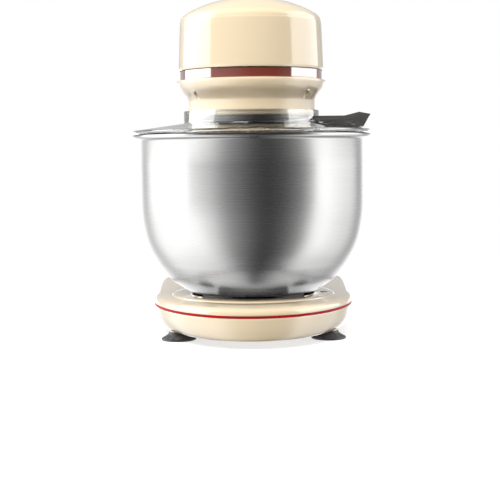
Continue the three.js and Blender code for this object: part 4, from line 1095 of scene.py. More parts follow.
# ---------------------------------------------------------------- sub-assemblies
@dataclass
class Base:
    """Lower and upper shell, seam strip and the four suction feet."""

    bench: Bench
    datum: Datum
    palette: Palette
    wall: float = 2.6
    plateau_rise: float = 1.6
    plateau_radius: float = 80
    seat_gap: float = 0.3
    boss_radius: float = 9
    gland_hole: float = 7.8
    vents: int = 6
    vent_pitch: float = 9

    def __post_init__(self) -> None:
        """Reads the levels."""
        low, high = self.datum.box("base_lower_shell")
        self.low, self.top = low.z, high.z
        self.plan = BasePlan(high.x, low.y, high.y)

    def build(self) -> list[Thing]:
        """Models and dresses the base.

        Returns:
            Its pieces.
        """
        return [self.lower_shell(), self.seam(), self.upper_shell(), *self.feet()]

    def lower_shell(self) -> Thing:
        """Tray that carries the feet.

        Returns:
            The piece.
        """
        outside = [
            (0.9, 0.985, 0.975, self.low), (0.935, 0.99, 0.982, self.low + 1.6),
            (0.965, 0.994, 0.99, self.low + 5), (0.988, 0.998, 0.996, self.low + 11),
            (1, 1, 1, self.top - 0.7),
        ]
        rings = self.plan.rings(outside, 5)
        rings.append(self.plan.ring(0.9985, 0.9985, 0.999, self.top))
        rings.append(self.plan.ring(0.97, 0.98, 0.985, self.top))
        rings.append(self.plan.ring(0.955, 0.975, 0.975, self.low + 9))
        rings.append(self.plan.ring(0.925, 0.96, 0.96, self.low + self.wall))
        shell = self.bench.skin("base_tray", rings, Ends.CAPPED)
        bosses, bores = [], []
        for name in self.foot_nodes():
            foot = self.datum.middle(name)
            centre = (foot.x, foot.y)
            bosses.append(self.bench.bar("boss", centre, 8.3, self.low + 8.5, self.boss_radius))
            bores.append(self.bench.bar("bore", centre, 0, 14, 3.4))
        self.bench.cut(shell, bosses, Cut.TOGETHER)
        gland = self.datum.middle("cable_gland")
        for i in range(self.vents):
            x = (i - (self.vents - 1) / 2) * self.vent_pitch
            bores.append(self.bench.block("vent", (x - 2, 60, 0), (x + 2, 100, self.low + self.wall + 1)))
        rim = arc((0, 0), self.gland_hole, 0, 351, 39)
        start = self.plan.rear - 15
        entry = [(gland.x + a, start, gland.z + b) for a, b in rim]
        bores.append(self.bench.slab("entry", entry, (0, 40, 0)))
        self.bench.cut(shell, bores)
        return self.bench.hand_over(shell, "base", self.palette["cream_plastic"], ["base_lower_shell"])

    def foot_nodes(self) -> list[str]:
        """Names of the four feet in the frame.

        Returns:
            The names.
        """
        return [f"suction_foot_{end}_{side}" for end in ("front", "rear") for side in ("right", "left")]

    def seam(self) -> Thing:
        """Strip between the shells.

        Returns:
            The piece.
        """
        low, high = self.datum.box("base_seam_trim")
        out, inn = (0.994, 0.995, 0.997), (0.968, 0.978, 0.984)
        mid = (0.996, 0.997, 0.998)
        rings = [
            self.plan.ring(*out, low.z), self.plan.ring(*mid, low.z + 0.4),
            self.plan.ring(*mid, high.z - 0.4), self.plan.ring(*out, high.z),
            self.plan.ring(*inn, high.z), self.plan.ring(*inn, low.z), self.plan.ring(*out, low.z),
        ]
        strip = self.bench.skin("seam_strip", rings)
        # The strip wears the lighter copy of the red trim, which is painted light.
        return self.bench.hand_over(strip, "base", self.palette.seam, ["base_seam_trim"])

    def upper_shell(self) -> Thing:
        """Deck with the raised round and the seat's recess.

        Returns:
            The piece.
        """
        low, high = self.datum.box("base_upper_shell")
        deck = high.z - self.plateau_rise
        rings = [
            self.plan.ring(0.84, 0.89, 0.94, deck - self.wall),
            self.plan.ring(0.93, 0.95, 0.965, low.z + 3.6),
            self.plan.ring(0.965, 0.975, 0.98, low.z + 2), self.plan.ring(0.97, 0.98, 0.985, low.z),
            self.plan.ring(0.9985, 0.9985, 0.999, low.z),
        ]
        outside = [
            (1, 1, 1, low.z + 0.6), (0.997, 0.998, 0.998, low.z + 2.4), (0.985, 0.99, 0.993, low.z + 4.6),
            (0.955, 0.972, 0.98, low.z + 6.2), (0.9, 0.935, 0.955, low.z + 7.2), (0.8, 0.87, 0.92, deck),
            (0.72, 0.8, 0.86, deck),
        ]
        shell = self.bench.skin("base_deck", rings + self.plan.rings(outside, 5), Ends.CAPPED)
        radius, top = self.plateau_radius, high.z
        foot = deck - self.wall + 0.5
        edge = spline([(radius + 1.6, deck - 0.5), (radius + 0.9, deck + 0.25), (radius - 0.1, top - 0.35),
                       (radius - 2.2, top)], 4)
        plateau = self.bench.turned("plateau", [(radius + 1.2, foot), *edge], 128, ends=Ends.CAPPED)
        seat_low, seat_high = self.datum.box("bowl_seat_ring")
        recess = seat_high.x + self.seat_gap
        floor = seat_low.z - self.seat_gap
        pan_side = [(recess + self.wall, floor - self.wall), (recess + self.wall, deck - 1)]
        pan = self.bench.turned("pan", pan_side, 128, ends=Ends.CAPPED)
        self.bench.cut(shell, [plateau, pan], Cut.TOGETHER)
        well_side = [(recess, floor), (recess, top - 0.7), (recess + 0.2, top - 0.25),
                     (recess + 0.9, top + 0.1), (recess + 0.9, top + 5)]
        well = self.bench.turned("well", well_side, 128, ends=Ends.CAPPED)
        arrow_low, arrow_high = self.datum.box("lock_arrow")
        grow = 0.5
        tip_y = (arrow_low.y + arrow_high.y) / 2
        arrow = [
            (arrow_low.x - grow, arrow_low.y - 1.2 * grow), (arrow_high.x + 1.2 * grow, tip_y),
            (arrow_low.x - grow, arrow_high.y + 1.2 * grow),
        ]
        pocket = self.bench.slab("pocket", [(x, y, top - 0.7) for x, y in arrow], (0, 0, 5))
        self.bench.cut(shell, [well, pocket])
        return self.bench.hand_over(shell, "base", self.palette["cream_plastic"], ["base_upper_shell"])

    def feet(self) -> list[Thing]:
        """Four flared rubber cups.

        Returns:
            The pieces.
        """
        first = self.datum.box(self.foot_nodes()[0])
        radius = (first[1].x - first[0].x) / 2
        profile = spline([(0, 2.6), (8, 2.2), (radius - 4.4, 1.3), (radius - 3.3, 0.2)], 4)
        profile += [(radius - 2.6, 0), (radius - 0.8, 0)]
        profile += spline([(radius - 0.2, 0.4), (radius, 1.1), (radius - 0.7, 2.1), (radius - 3, 3.4),
                           (radius - 5.4, 4.9), (radius - 6.9, 6.2)], 4)
        profile += [(9.7, 6.9), (9.6, 7.7), (9.3, 8), (3, 8), (3, 11.7), (2.7, 12), (0, 12)]
        made = []
        for name in self.foot_nodes():
            centre = self.datum.middle(name)
            foot = self.bench.turned(name.replace("suction_foot", "cup"), profile, 64, (centre.x, centre.y))
            made.append(self.bench.hand_over(foot, "base", self.palette["rubber"], [name]))
        return made


@dataclass
class Column:
    """Column in two halves, the speed knob and the release button."""

    bench: Bench
    datum: Datum
    palette: Palette
    flare: float = 4
    half_width: float = 61
    squareness: float = 0.5
    wall: float = 2.6
    barrel_radius: float = 15
    lug_inner: float = 19.5
    lug_outer: float = 31.5
    knob_depth: float = 13
    steps: int = 44
    saw: float = 0.3

    def __post_init__(self) -> None:
        """Reads the levels."""
        low, high = self.datum.box("column_front_shell")
        rear = self.datum.box("column_rear_shell")[1]
        self.bottom = low.z
        self.front, self.rear = low.y + self.flare, rear.y - self.flare
        self.seam = high.y
        pin = self.datum.middle("hinge_pin")
        self.pivot = (pin.y, pin.z)
        self.top = self.datum.box("column_front_shell")[1].z

    def ring(self, grow: float, z: float) -> list[Point]:
        """Rounded oblong of the column.

        Args:
            grow: How far it stands out past the upper part.
            z: Level.

        Returns:
            The ring.
        """
        middle = (self.front + self.rear) / 2
        deep = (self.rear - self.front) / 2 + grow
        wide = self.half_width + grow
        half: list[Flat] = []
        for i in range(self.steps + 1):
            a = math.pi * i / self.steps
            c = math.cos(a)
            x = 0 if i in (0, self.steps) else wide * math.sin(a) ** self.squareness
            half.append((x, middle - deep * math.copysign(abs(c) ** self.squareness, c)))
        return mirrored(half, z)

    def build(self) -> list[Thing]:
        """Models and dresses the column.

        Returns:
            Its pieces.
        """
        return [*self.shells(), self.knob(), self.button()]

    def shells(self) -> list[Thing]:
        """Front and rear half.

        Returns:
            The pieces.
        """
        y, z = self.pivot
        keys = [(4, 0), (2.2, 6), (0.8, 16), (0, 34), (-1, self.top - self.bottom)]
        rings = [self.ring(grow, self.bottom + rise) for grow, rise in spline(keys, 5)]
        body = self.bench.skin("column_front", rings, Ends.CAPPED)
        barrel_half = self.half_width - 9
        far = 300
        behind = self.bench.block("behind", (-far, y, z - 2), (far, self.rear + 40, self.top + 40))
        self.bench.cut(body, [behind])
        r = self.barrel_radius
        barrel = [(r - 0.8, -barrel_half), (r, -barrel_half + 0.8),
                  (r, barrel_half - 0.8), (r - 0.8, barrel_half)]
        self.bench.cut(body, [self.bench.crosswise("barrel", barrel, y, z, 96)], Cut.TOGETHER)
        inner = [self.ring(grow, level) for grow, level in (
            (-self.wall, self.bottom - 1), (-self.wall - 0.4, self.bottom + 34),
            (-self.wall - 1.4, self.top - self.wall),
        )]
        hollow = self.bench.skin("hollow", inner, Ends.CAPPED)
        keep = self.bench.block("keep", (-far, y - 2, z - 4), (far, self.rear + 40, self.top + 40))
        self.bench.cut(hollow, [keep])
        bore = [(r - 2.4, -barrel_half + 3), (r - 2.4, barrel_half - 3)]
        tools = [hollow, self.bench.crosswise("bore", bore, y, z)]
        for low, high in ((-self.lug_outer, -self.lug_inner), (self.lug_inner, self.lug_outer)):
            corner = (high, self.rear + 10, self.top + 20)
            tools.append(self.bench.block("lug", (low, y - 26, z - 15), corner))
        button = self.datum.middle("release_button")
        knob = self.datum.middle("speed_knob")
        corner = (14, button.y + 20, self.top + 4)
        tools.append(self.bench.block("catch", (-14, button.y - 12, self.top - self.wall - 4), corner))
        tools.append(self.bench.crosswise("shaft", [(4.6, 0), (4.6, 81)], knob.y, knob.z))
        window = (-81, button.y - 9, button.z - 6), (0, button.y + 9, button.z + 6)
        tools.append(self.bench.block("window", *window))
        self.bench.cut(body, tools)
        front, rear = self.bench.split(body, "column_rear", self.seam, self.saw)
        cream = self.palette["cream_plastic"]
        return [
            self.bench.hand_over(front, "base", cream, ["column_front_shell"]),
            self.bench.hand_over(rear, "base", cream, ["column_rear_shell"]),
        ]

    def knob(self) -> Thing:
        """Round speed knob with a grip across it.

        Returns:
            The piece.
        """
        low, high = self.datum.box("speed_knob")
        middle = self.datum.middle("speed_knob")
        radius = (high.y - low.y) / 2
        seat = low.x
        face = seat + self.knob_depth
        edge = [
            (radius - 0.3, seat + 0.3), (radius, seat + 1.4), (radius - 1.2, face - 2),
            (radius - 1.9, face - 0.6), (radius - 3, face), (radius - 4.4, face - 0.5),
            (radius - 6.4, face - 1.6),
        ]
        profile = [(0, seat), (radius - 0.8, seat), *spline(edge, 4), (0, face - 1.6)]
        knob = self.bench.crosswise("dial_knob", profile, middle.y, middle.z, 96)
        grip = self.bench.block("grip", (face - 3, middle.y - 4, middle.z - 15.5),
                                (high.x, middle.y + 4, middle.z + 15.5))
        self.bench.ease_edges(grip, 1.2, 3)
        self.bench.cut(knob, [grip], Cut.TOGETHER)
        slot = self.bench.block("slot", (high.x - 1.4, middle.y - 1.4, middle.z + 2),
                                (high.x + 3, middle.y + 1.4, middle.z + 14))
        bore = self.bench.crosswise("bore", [(3.5, seat - 2), (3.5, seat + 8)], middle.y, middle.z)
        self.bench.cut(knob, [slot, bore])
        return self.bench.hand_over(knob, "dial", self.palette["black_plastic"], ["speed_knob"])

    def button(self) -> Thing:
        """Release button with a softened face.

        Returns:
            The piece.
        """
        low, high = self.datum.box("release_button")
        y, z = (low.y + high.y) / 2, (low.z + high.z) / 2
        rings = []
        face = ((1.2, low.x), (0.5, low.x + 0.3), (0.1, low.x + 0.9), (0, low.x + 1.8), (0, high.x))
        for shrink, x in face:
            ring = []
            for i in range(56):
                a = 2 * math.pi * i / 56
                c, s = math.cos(a), math.sin(a)
                wide, tall = (high.y - low.y) / 2 - shrink, (high.z - low.z) / 2 - shrink
                across = wide * math.copysign(abs(c) ** 0.6, c)
                ring.append((x, y + across, z + tall * math.copysign(abs(s) ** 0.6, s)))
            rings.append(ring)
        button = self.bench.skin("tilt_button", rings, Ends.CAPPED)
        return self.bench.hand_over(button, "release", self.palette["black_plastic"], ["release_button"])


@dataclass
class Head:
    """Upper shell, band, lower shell with the drive hub, planet carrier and beater."""

    bench: Bench
    datum: Datum
    palette: Palette
    wall: float = 2.6
    band_inset: float = 1.5
    band_depth: float = 2.4
    screw_inset: float = 21
    screw_back: float = 31.5
    screw_depth: float = 11
    notch_radius: float = 17.5

    def __post_init__(self) -> None:
        """Reads the levels."""
        low, high = self.datum.box("head_upper_shell")
        self.plan = HeadPlan(-low.y, high.y, low.z, high.z)
        self.lip = -self.datum.box("head_lower_shell")[0].y
        self.hub_low = self.datum.box("head_lower_shell")[0].z
        self.rim = self.datum.box("head_lower_shell")[1].z
        self.hub_top = self.hub_low + 15

    def build(self) -> list[Thing]:
        """Models and dresses the head.

        Returns:
            Its pieces.
        """
        return [self.upper_shell(), self.band(), self.lower_shell(), self.carrier(), self.beater()]

    def upper_shell(self) -> Thing:
        """Domed cover with a firm shoulder.

        Returns:
            The piece.
        """
        r, height = self.plan.nose_radius, self.plan.crown_z - self.plan.head_z
        keys = [
            (r, 0.012), (r - 0.4, 0.2), (r - 1.7, 0.61), (r - 2.2, 0.674), (r - 3, 0.718), (r - 5.2, 0.758),
            (r - 8.5, 0.79), (r * 0.777, 0.846), (r * 0.643, 0.902), (r * 0.517, 0.945), (r * 0.385, 0.973),
            (r * 0.224, 0.99), (r * 0.08, 0.999), (0, 1.0),
        ]
        profile = [(r - 0.7, 0.0), (r - 0.25, 0.003)] + spline(keys, 4)
        rings = [self.plan.droop(self.plan.ring(a, self.plan.head_z + b * height)) for a, b in profile]
        cover = self.bench.skin("head_cover", rings)
        self.bench.wall(cover, self.wall)
        return self.bench.hand_over(cover, "head", self.palette["cream_plastic"], ["head_upper_shell"], 40)

    def band(self) -> Thing:
        """Recessed band round the head.

        Returns:
            The piece.
        """
        low, high = self.datum.box("head_band")
        r = self.plan.nose_radius - self.band_inset
        levels = [(0.3, low.z), (0, low.z + 0.3), (0, high.z - 0.3), (0.3, high.z), (self.band_depth, high.z),
                  (self.band_depth, low.z), (0.3, low.z)]
        band = self.bench.skin("head_stripe", [self.plan.ring(r, z, inset) for inset, z in levels])
        return self.bench.hand_over(band, "head", self.palette["red_trim"], ["head_band"])

    def lower_shell(self) -> Thing:
        """Saucer under the nose with the drive hub.

        Returns:
            The piece.
        """
        drop = self.rim - self.hub_top
        keys = [(9, 0), (8.4, 0.08), (6.9, 0.2), (4.9, 0.34), (3, 0.47), (1.4, 0.62), (0.4, 0.77),
                (0, 0.89), (0.25, 0.97)]
        saucer = [(self.lip - a, self.hub_top + b * drop) for a, b in spline(keys, 4)]
        saucer += [(self.lip - 0.6, self.rim - 0.15), (self.lip - 1.2, self.rim)]
        hub = self.lip - 9
        circles = [
            (hub - 1.2, self.hub_low), (hub - 0.3, self.hub_low + 0.25), (hub, self.hub_low + 0.9),
            (hub, self.hub_low + 1.7), (hub - 0.9, self.hub_low + 2.2), (hub - 0.9, self.hub_low + 4.2),
            (hub, self.hub_low + 4.6), (hub, self.hub_top - 0.6), (hub + 0.15, self.hub_top),
        ]
        rings = [self.plan.circle(a, z) for a, z in circles] + [self.plan.ring(a, z) for a, z in saucer]
        solid = self.bench.skin("head_saucer", rings, Ends.CAPPED)
        w = self.wall
        space = self.bench.skin("space", [
            self.plan.ring(self.lip - 7.4, self.hub_top + w, w),
            self.plan.ring(self.lip - 3.4, self.hub_top + 0.38 * drop, w),
            self.plan.ring(self.lip - 1, self.rim + 1, w),
        ], Ends.CAPPED)
        places = [(side * (self.lip - self.screw_inset), self.screw_back - self.lip) for side in (1, -1)]
        screw_top = self.hub_top + self.screw_depth
        posts = [self.bench.bar("post", at, self.hub_top - 5, screw_top + 4, 6.4) for at in places]
        self.bench.cut(space, posts)
        y, z = self.datum.middle("hinge_pin").y, self.datum.middle("hinge_pin").z
        catch = self.datum.middle("release_button").y
        far = 200
        tools = [
            space,
            self.bench.bar("bore", (0, 0), self.hub_low - 1, self.hub_top + 10, hub - w - 1.4),
            self.bench.crosswise("notch", [(self.notch_radius, -far), (self.notch_radius, far)], y, z, 96),
            self.bench.block("behind", (-far, y, self.hub_top - 20),
                             (far, self.plan.rear + 50, z + self.notch_radius)),
            self.bench.block("slot", (-7, catch - 7, self.hub_top - 1), (7, catch + 7, self.hub_top + w + 2)),
        ]
        for at in places:
            tools.append(self.bench.bar("recess", at, self.hub_top - 2, screw_top, 2.6))
            tools.append(self.bench.bar("thread", at, self.hub_top, self.hub_top + 40, 1.9))
        self.bench.cut(solid, tools)
        return self.bench.hand_over(solid, "head", self.palette["cream_plastic"], ["head_lower_shell"])

    def carrier(self) -> Thing:
        """Black disc that carries the tool round.

        Returns:
            The piece.
        """
        low, high = self.datum.box("planet_carrier")
        radius = high.x
        plate = high.z - 4.6
        shape = [(0, plate - 1.6), (radius - 12, plate - 1.6)]
        shape += spline([(radius - 9, plate - 1.4), (radius - 4, plate - 0.6), (radius - 1, plate + 0.2),
                         (radius, plate + 1.2)], 4)
        shape += [(radius, high.z - 0.3), (radius - 0.3, high.z), (0, high.z)]
        disc = self.bench.turned("planet_disc", shape, 128)
        tool = self.datum.middle("tool_shaft").y
        boss = [(0, low.z), (9.2, low.z), (10, low.z + 0.4), (11.5, low.z + 1.4), (12.4, plate - 2.4),
                (14, plate), (0, plate)]
        self.bench.cut(disc, [self.bench.turned("boss", boss, 64, (0, tool))], Cut.TOGETHER)
        self.bench.cut(disc, [self.bench.bar("bore", (0, tool), low.z - 10, high.z + 5, 5.5)])
        return self.bench.hand_over(disc, "carrier", self.palette["black_plastic"], ["planet_carrier"])

    def beater(self) -> Thing:
        """Cast flat beater with ribs and a sleeve.

        Returns:
            The piece.
        """
        low, high = self.datum.box("flat_beater")
        y = self.datum.middle("tool_shaft").y
        half = high.x / 0.94
        floor, top = low.z, high.z - 14
        span = top - floor
        keys = [(0.3, 0), (0.52, 0.004), (0.72, 0.09), (0.88, 0.26), (0.94, 0.5), (0.9, 0.74),
                (0.66, 0.93), (0.3, 1)]

        def outline(inset: float, front: float) -> list[Point]:
            """Outline of the paddle.

            Args:
                inset: How far it is drawn in.
                front: Depth of the outline.

            Returns:
                The outline.
            """
            tall = span - 2 * inset
            right = [(max(1.0, half * a - inset), floor + inset + tall * b) for a, b in spline(keys, 5)]
            both = right + [(-x, z) for x, z in reversed(right)]
            return [(x, front, z) for x, z in both]

        paddle = self.bench.slab("flat_paddle", outline(0, y - 3.2), (0, 6.4, 0))
        window = self.bench.slab("window", outline(7.5, y - 5), (0, 10, 0))
        self.bench.cut(paddle, [window])
        self.bench.ease_edges(paddle, 1.3, 3, 50)
        bars = [self.bench.block("stem", (-3, y - 2.8, floor + 3), (3, y + 2.8, top - 4))]
        for share in (0.32, 0.6):
            z = floor + span * share
            reach = half * 0.84
            bars.append(self.bench.block("rib", (-reach, y - 2.6, z - 2.6), (reach, y + 2.6, z + 2.6)))
        for one in bars:
            self.bench.ease_edges(one, 1.0, 2)
        sleeve = [(0, top - 10), (8.4, top - 10), (9, top - 9.4), (9.5, top - 4), (9.5, top + 12),
                  (9.2, top + 13.4), (8.2, top + 14), (0, top + 14)]
        bars.append(self.bench.turned("sleeve", sleeve, 64, (0, y)))
        self.bench.cut(paddle, bars, Cut.TOGETHER)
        self.bench.cut(paddle, [self.bench.bar("bore", (0, y), top - 4.3, top + 40, 5.3)])
        return self.bench.hand_over(paddle, "tool", self.palette["cast_alloy"], ["flat_beater"])


@dataclass
class Bowl:
    """Brushed steel bowl with a rolled rim."""

    bench: Bench
    datum: Datum
    palette: Palette
    steel: float = 1.1
    bead: float = 2.3

    def build(self) -> list[Thing]:
        """Models and dresses the bowl.

        Returns:
            Its pieces.
        """
        low, high = self.datum.box("mixing_bowl")
        rim, top, foot = high.x, high.z, low.z
        wall = rim - 6.8
        keys = [
            (52, 0), (57, 0.25), (61.5, 1.1), (66, 3), (71, 6.1), (76, 9.4), (80.8, 12.8), (85, 16.9),
            (89, 21.8), (93, 27.1), (96, 31.7), (101.5, 41.6), (105.5, 51.6), (108.1, 61.6),
            (110, 72.8), (110.9, 82), (wall, 92),
        ]
        outside = [(0, foot), (30, foot)] + [(r, foot + h) for r, h in spline(keys, 4)]
        outside += [(wall, top - 60), (wall, top - 30), (wall, top - 6.6)]
        outside += [(wall + 0.3, top - 5.6), (wall + 1.1, top - 4.9), (wall + 2.2, top - 4.6)]
        bead = arc((rim - self.bead, top - self.bead), self.bead, -90, 90, 12)
        lip = [(wall + 1.6, top - 0.5), (wall + 0.2, top - 1.6), (wall - 0.7, top - 3.2),
               (wall - self.steel, top - 5.6)]
        inside = [(r, foot + h) for r, h in spline(keys, 4)]
        inside = offset([(30, foot), *inside, (wall, top - 60), (wall, top - 20)], self.steel)
        profile = outside + bead + lip + list(reversed(inside[1:])) + [(0, foot + self.steel)]
        bowl = self.bench.turned("steel_bowl", profile, 160)
        return [self.bench.hand_over(bowl, "bowl", self.palette["bowl_steel"], ["mixing_bowl"], 50)]


@dataclass
class Guard:
    """Clear splash guard and its smoked feed chute."""

    bench: Bench
    datum: Datum
    palette: Palette
    thickness: float = 2
    collar: float = 67.1
    collar_inner: float = 65.0
    chute_half: float = 29
    chute_wall: float = 2.2

    def __post_init__(self) -> None:
        """Reads the levels."""
        low, high = self.datum.box("splash_guard")
        self.rim, self.low, self.collar_top = high.x, low.z, high.z
        self.hub_low = self.datum.box("head_lower_shell")[0].z
        self.start = self.hub_low - 6.4
        self.end = self.low + 3.4

    def flange(self, radius: float) -> float:
        """Level of the flange's top.

        Args:
            radius: Distance from the bowl axis.

        Returns:
            The level.
        """
        share = (radius - self.collar) / (self.rim - 2 - self.collar)
        return self.start + (self.end - self.start) * share

    def build(self) -> list[Thing]:
        """Models and dresses the guard.

        Returns:
            Its pieces.
        """
        return [self.lid(), self.chute()]

    def lid(self) -> Thing:
        """Shallow clear cone with a collar.

        Returns:
            The piece.
        """
        rim, low, r = self.rim, self.low, self.collar
        profile = [
            (self.collar_inner, self.start - self.thickness),
            (rim - 9, self.flange(rim - 9) - self.thickness),
            (rim - 6.6, low + 0.2), (rim - 5.8, low), (rim - 0.5, low), (rim, low + 0.5), (rim, low + 2),
            (rim - 0.5, self.end - 0.6), (rim - 1.2, self.end - 0.1), (rim - 2.2, self.flange(rim - 2.2)),
            (r + 1.2, self.flange(r + 1.2)), (r + 0.3, self.start + 0.2), (r, self.start + 1),
            (r, self.collar_top - 0.6), (r - 0.3, self.collar_top - 0.1), (r - 0.7, self.collar_top),
            (self.collar_inner + 0.4, self.collar_top), (self.collar_inner, self.collar_top - 0.5),
            (self.collar_inner, self.start - self.thickness),
        ]
        lid = self.bench.turned("clear_lid", profile, 160)
        half = self.chute_half - 3
        mouth = self.bench.block("mouth", (r + 3, -half, low - 5), (self.rim - 11.5, half, self.hub_low + 4))
        self.bench.cut(lid, [mouth])
        return self.bench.hand_over(lid, "guard", self.palette["clear_plastic"], ["splash_guard"])

    def chute(self) -> Thing:
        """Dark trough open above and below.

        Returns:
            The piece.
        """
        tip, lift = self.datum.box("feed_chute")[1].x, 0.5
        mouth = self.rim - 9.5
        inner = self.collar + 0.4
        side = [
            (50, self.flange(60) + lift), (inner + 1, self.flange(inner + 1) + lift),
            (mouth, self.flange(mouth) + lift),
            (tip - 2, self.hub_low - 2.2), (tip, self.hub_low + 0.8), (tip - 11.2, self.hub_low + 3),
            (inner + 23, self.hub_low - 0.5), (50, self.hub_low - 0.5),
        ]
        near_side = [(x, -self.chute_half, z) for x, z in side]
        body = self.bench.slab("smoked_chute", near_side, (0, 2 * self.chute_half, 0))
        w = self.chute_wall
        hollow = [
            (inner + w, self.low - 4), (mouth - w, self.low - 4), (mouth - w, self.flange(mouth) + lift),
            (tip - 2 - w, self.hub_low - 2.2), (tip - w, self.hub_low + 20), (inner + w, self.hub_low + 20),
        ]
        half = self.chute_half - w
        space = self.bench.slab("space", [(x, -half, z) for x, z in hollow], (0, 2 * half, 0))
        around = self.collar + 0.3
        keep = self.bench.turned("keep", [(around + w, 100), (around + w, 300)], 128, ends=Ends.CAPPED)
        self.bench.cut(space, [keep])
        clear = self.bench.turned("clear", [(around, 100), (around, 300)], 128, ends=Ends.CAPPED)
        self.bench.cut(body, [space, clear])
        self.bench.ease_edges(body, 0.5, 2, 50)
        return self.bench.hand_over(body, "guard", self.palette["smoked_plastic"], ["feed_chute"])


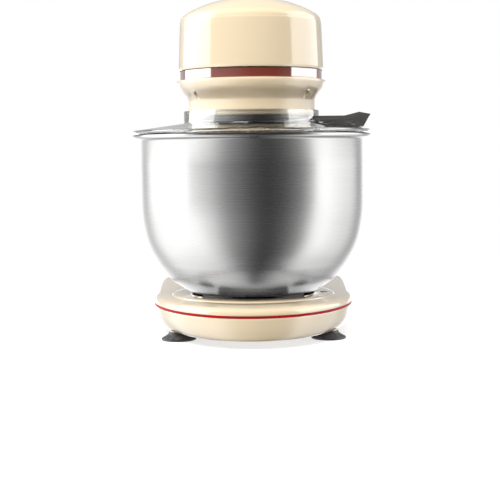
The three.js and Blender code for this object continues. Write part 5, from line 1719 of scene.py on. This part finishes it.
# ---------------------------------------------------------------- studio
@dataclass
class Studio:
    """Pale floor, soft light and the camera."""

    bench: Bench
    distance: float = 1200
    camera_height: float = 181.3
    camera_side: float = -2.8
    pitch: float = 4.65
    roll: float = -0.6
    lens: float = 86.4
    strip_light: float = 5.0
    over: Sequence[Flat] = (
        (-180, 0.12), (-134, 0.14), (-131, 1), (-69, 1), (-67, 0.08), (-30, 0.05), (0, 0.02),
        (40, 0.015), (67, 0.04), (69, 0.85), (131, 0.65), (134, 0.12), (180, 0.12),
    )
    under: Sequence[Flat] = (
        (-180, 0.35), (-152, 0.35), (-145, 0.24), (-134, 0.3), (-120, 0.6), (-105, 0.67), (-85, 0.7),
        (-70, 0.69), (-60, 0.7), (-51, 0.58), (-42, 0.47), (-33, 0.31), (-25, 0.2), (-16, 0.14),
        (0, 0.06), (9, 0.036), (18, 0.03), (33, 0.06), (42, 0.11), (51, 0.17), (60, 0.36), (67, 0.62),
        (80, 0.67), (92, 0.57), (105, 0.48), (120, 0.4), (134, 0.2), (146, 0.18), (154, 0.35),
        (180, 0.35),
    )
    floor_radius: float = 850
    floor_grey: float = 0.5
    floor_glow: float = 0.68
    lamp_power: float = 16
    lamp_size: float = 1.0
    lamp_place: Point = (-0.5, -0.85, 1.15)
    lamp_target: Point = (0, 0, 0.15)

    def build(self) -> None:
        """Sets the studio up."""
        self.floor()
        self.surroundings()
        self.lamp()
        self.camera()
        bpy.context.scene.view_settings.view_transform = "Standard"

    def floor(self) -> None:
        """Round pale floor."""
        bpy.ops.object.select_all(action="DESELECT")
        bpy.ops.mesh.primitive_circle_add(vertices=96, radius=self.floor_radius * MM, fill_type="NGON",
                                          location=(0, 0, 0))
        floor = bpy.context.active_object
        floor.name = "studio_floor"
        material = bpy.data.materials.new("studio_floor")
        material.use_nodes = True
        sheet = Drawing(material.node_tree)
        shader = sheet.add("ShaderNodeBsdfPrincipled", {
            "Base Color": (*[self.floor_grey] * 3, 1), "Roughness": 0.9, "Specular IOR Level": 0.0,
            "Emission Color": (1, 1, 1, 1), "Emission Strength": self.floor_glow,
        })
        sheet.add("ShaderNodeOutputMaterial", {"Surface": shader.outputs[0]})
        floor.data.materials.append(material)
        floor.visible_glossy = False
        floor.visible_diffuse = False

    def surroundings(self) -> None:
        """White room for the eye, tall soft boxes either side for what shines."""
        world = bpy.data.worlds.new("studio")
        bpy.context.scene.world = world
        world.use_nodes = True
        world.cycles.sampling_method = "NONE"
        sheet = Drawing(world.node_tree)
        way = sheet.add("ShaderNodeTexCoord").outputs["Generated"]
        parts = sheet.add("ShaderNodeSeparateXYZ", {0: way})
        x, y, z = parts.outputs[0], parts.outputs[1], parts.outputs[2]
        ahead = sheet.sum("MULTIPLY", y, -1.0)
        round_by = sheet.sum("ARCTAN2", x, ahead)
        share = sheet.span(round_by, -math.pi, math.pi)
        over = self.ring_of_light(sheet, share, self.over)
        under = self.ring_of_light(sheet, share, self.under)
        ring = sheet.add("ShaderNodeMix", {0: sheet.span(z, 0.03, 0.06), 2: under, 3: over}).outputs[0]
        head, foot = sheet.span(z, 0.62, 0.86, 1.0, 0.12), sheet.span(z, -0.97, -0.5, 0.55, 1.0)
        tall = sheet.sum("MULTIPLY", head, foot)
        shine = sheet.sum("MULTIPLY", sheet.sum("MULTIPLY", ring, tall), self.strip_light)
        path = sheet.add("ShaderNodeLightPath")
        glossy, diffuse = path.outputs["Is Glossy Ray"], path.outputs["Is Diffuse Ray"]
        soft = sheet.span(z, -0.5, 0.2, 0.0, 1.02)
        plain = sheet.add("ShaderNodeMix", {0: diffuse, 2: 1.0, 3: soft}).outputs[0]
        level = sheet.add("ShaderNodeMix", {0: glossy, 2: plain, 3: shine}).outputs[0]
        back = sheet.add("ShaderNodeBackground", {"Color": (1, 1, 1, 1), "Strength": level})
        sheet.add("ShaderNodeOutputWorld", {"Surface": back.outputs[0]})

    def ring_of_light(self, sheet: Drawing, share: Socket, stops: Sequence[Flat]) -> Socket:
        """Brightness all the way round, from behind over the left, the front and the right.

        Args:
            sheet: Tree to draw on.
            share: Share of the way round.
            stops: Degrees from the front, and brightness.

        Returns:
            The brightness.
        """
        found = sheet.add("ShaderNodeValToRGB", {0: share}).outputs[0]
        ramp = found.node.color_ramp
        while len(ramp.elements) > 1:
            ramp.elements.remove(ramp.elements[-1])
        for index, (degrees, value) in enumerate(stops):
            spot = (degrees + 180) / 360
            stop = ramp.elements[0] if index == 0 else ramp.elements.new(spot)
            stop.position = spot
            stop.color = (value, value, value, 1)
        return found

    def lamp(self) -> None:
        """Large soft lamp over the front on the left."""
        data = bpy.data.lights.new("soft_lamp", "AREA")
        data.shape = "DISK"
        data.size = self.lamp_size
        data.energy = self.lamp_power
        lamp = bpy.data.objects.new("soft_lamp", data)
        lamp.location = self.lamp_place
        lamp.rotation_euler = (Vector(self.lamp_target) - lamp.location).to_track_quat("-Z", "Y").to_euler()
        lamp.visible_glossy = False
        bpy.context.scene.collection.objects.link(lamp)

    def camera(self) -> None:
        """Camera in front of the nose, a little above the bowl's rim."""
        data = bpy.data.cameras.new("camera")
        data.lens = self.lens
        data.clip_start, data.clip_end = 0.05, 50
        camera = bpy.data.objects.new("camera", data)
        camera.location = self.bench.place((self.camera_side, -self.distance, self.camera_height))
        tilt = Matrix.Rotation(math.radians(90 - self.pitch), 3, "X")
        lean = Matrix.Rotation(math.radians(self.roll), 3, "Z")
        camera.rotation_euler = (tilt @ lean).to_euler()
        bpy.context.scene.collection.objects.link(camera)
        bpy.context.scene.camera = camera


def main() -> None:
    """Builds the machine and the studio."""
    logging.basicConfig(level=logging.INFO, format="%(name)s: %(message)s")
    datum = Datum()
    bench = Bench(datum.axis)
    palette = Palette()
    palette.dress_frame()
    for assembly in (Base, Column, Head, Bowl, Guard):
        assembly(bench, datum, palette).build()
    for name in UNMIRRORED:
        bpy.data.objects[name].visible_glossy = False
    Studio(bench).build()


if __name__ == "__main__":
    main()
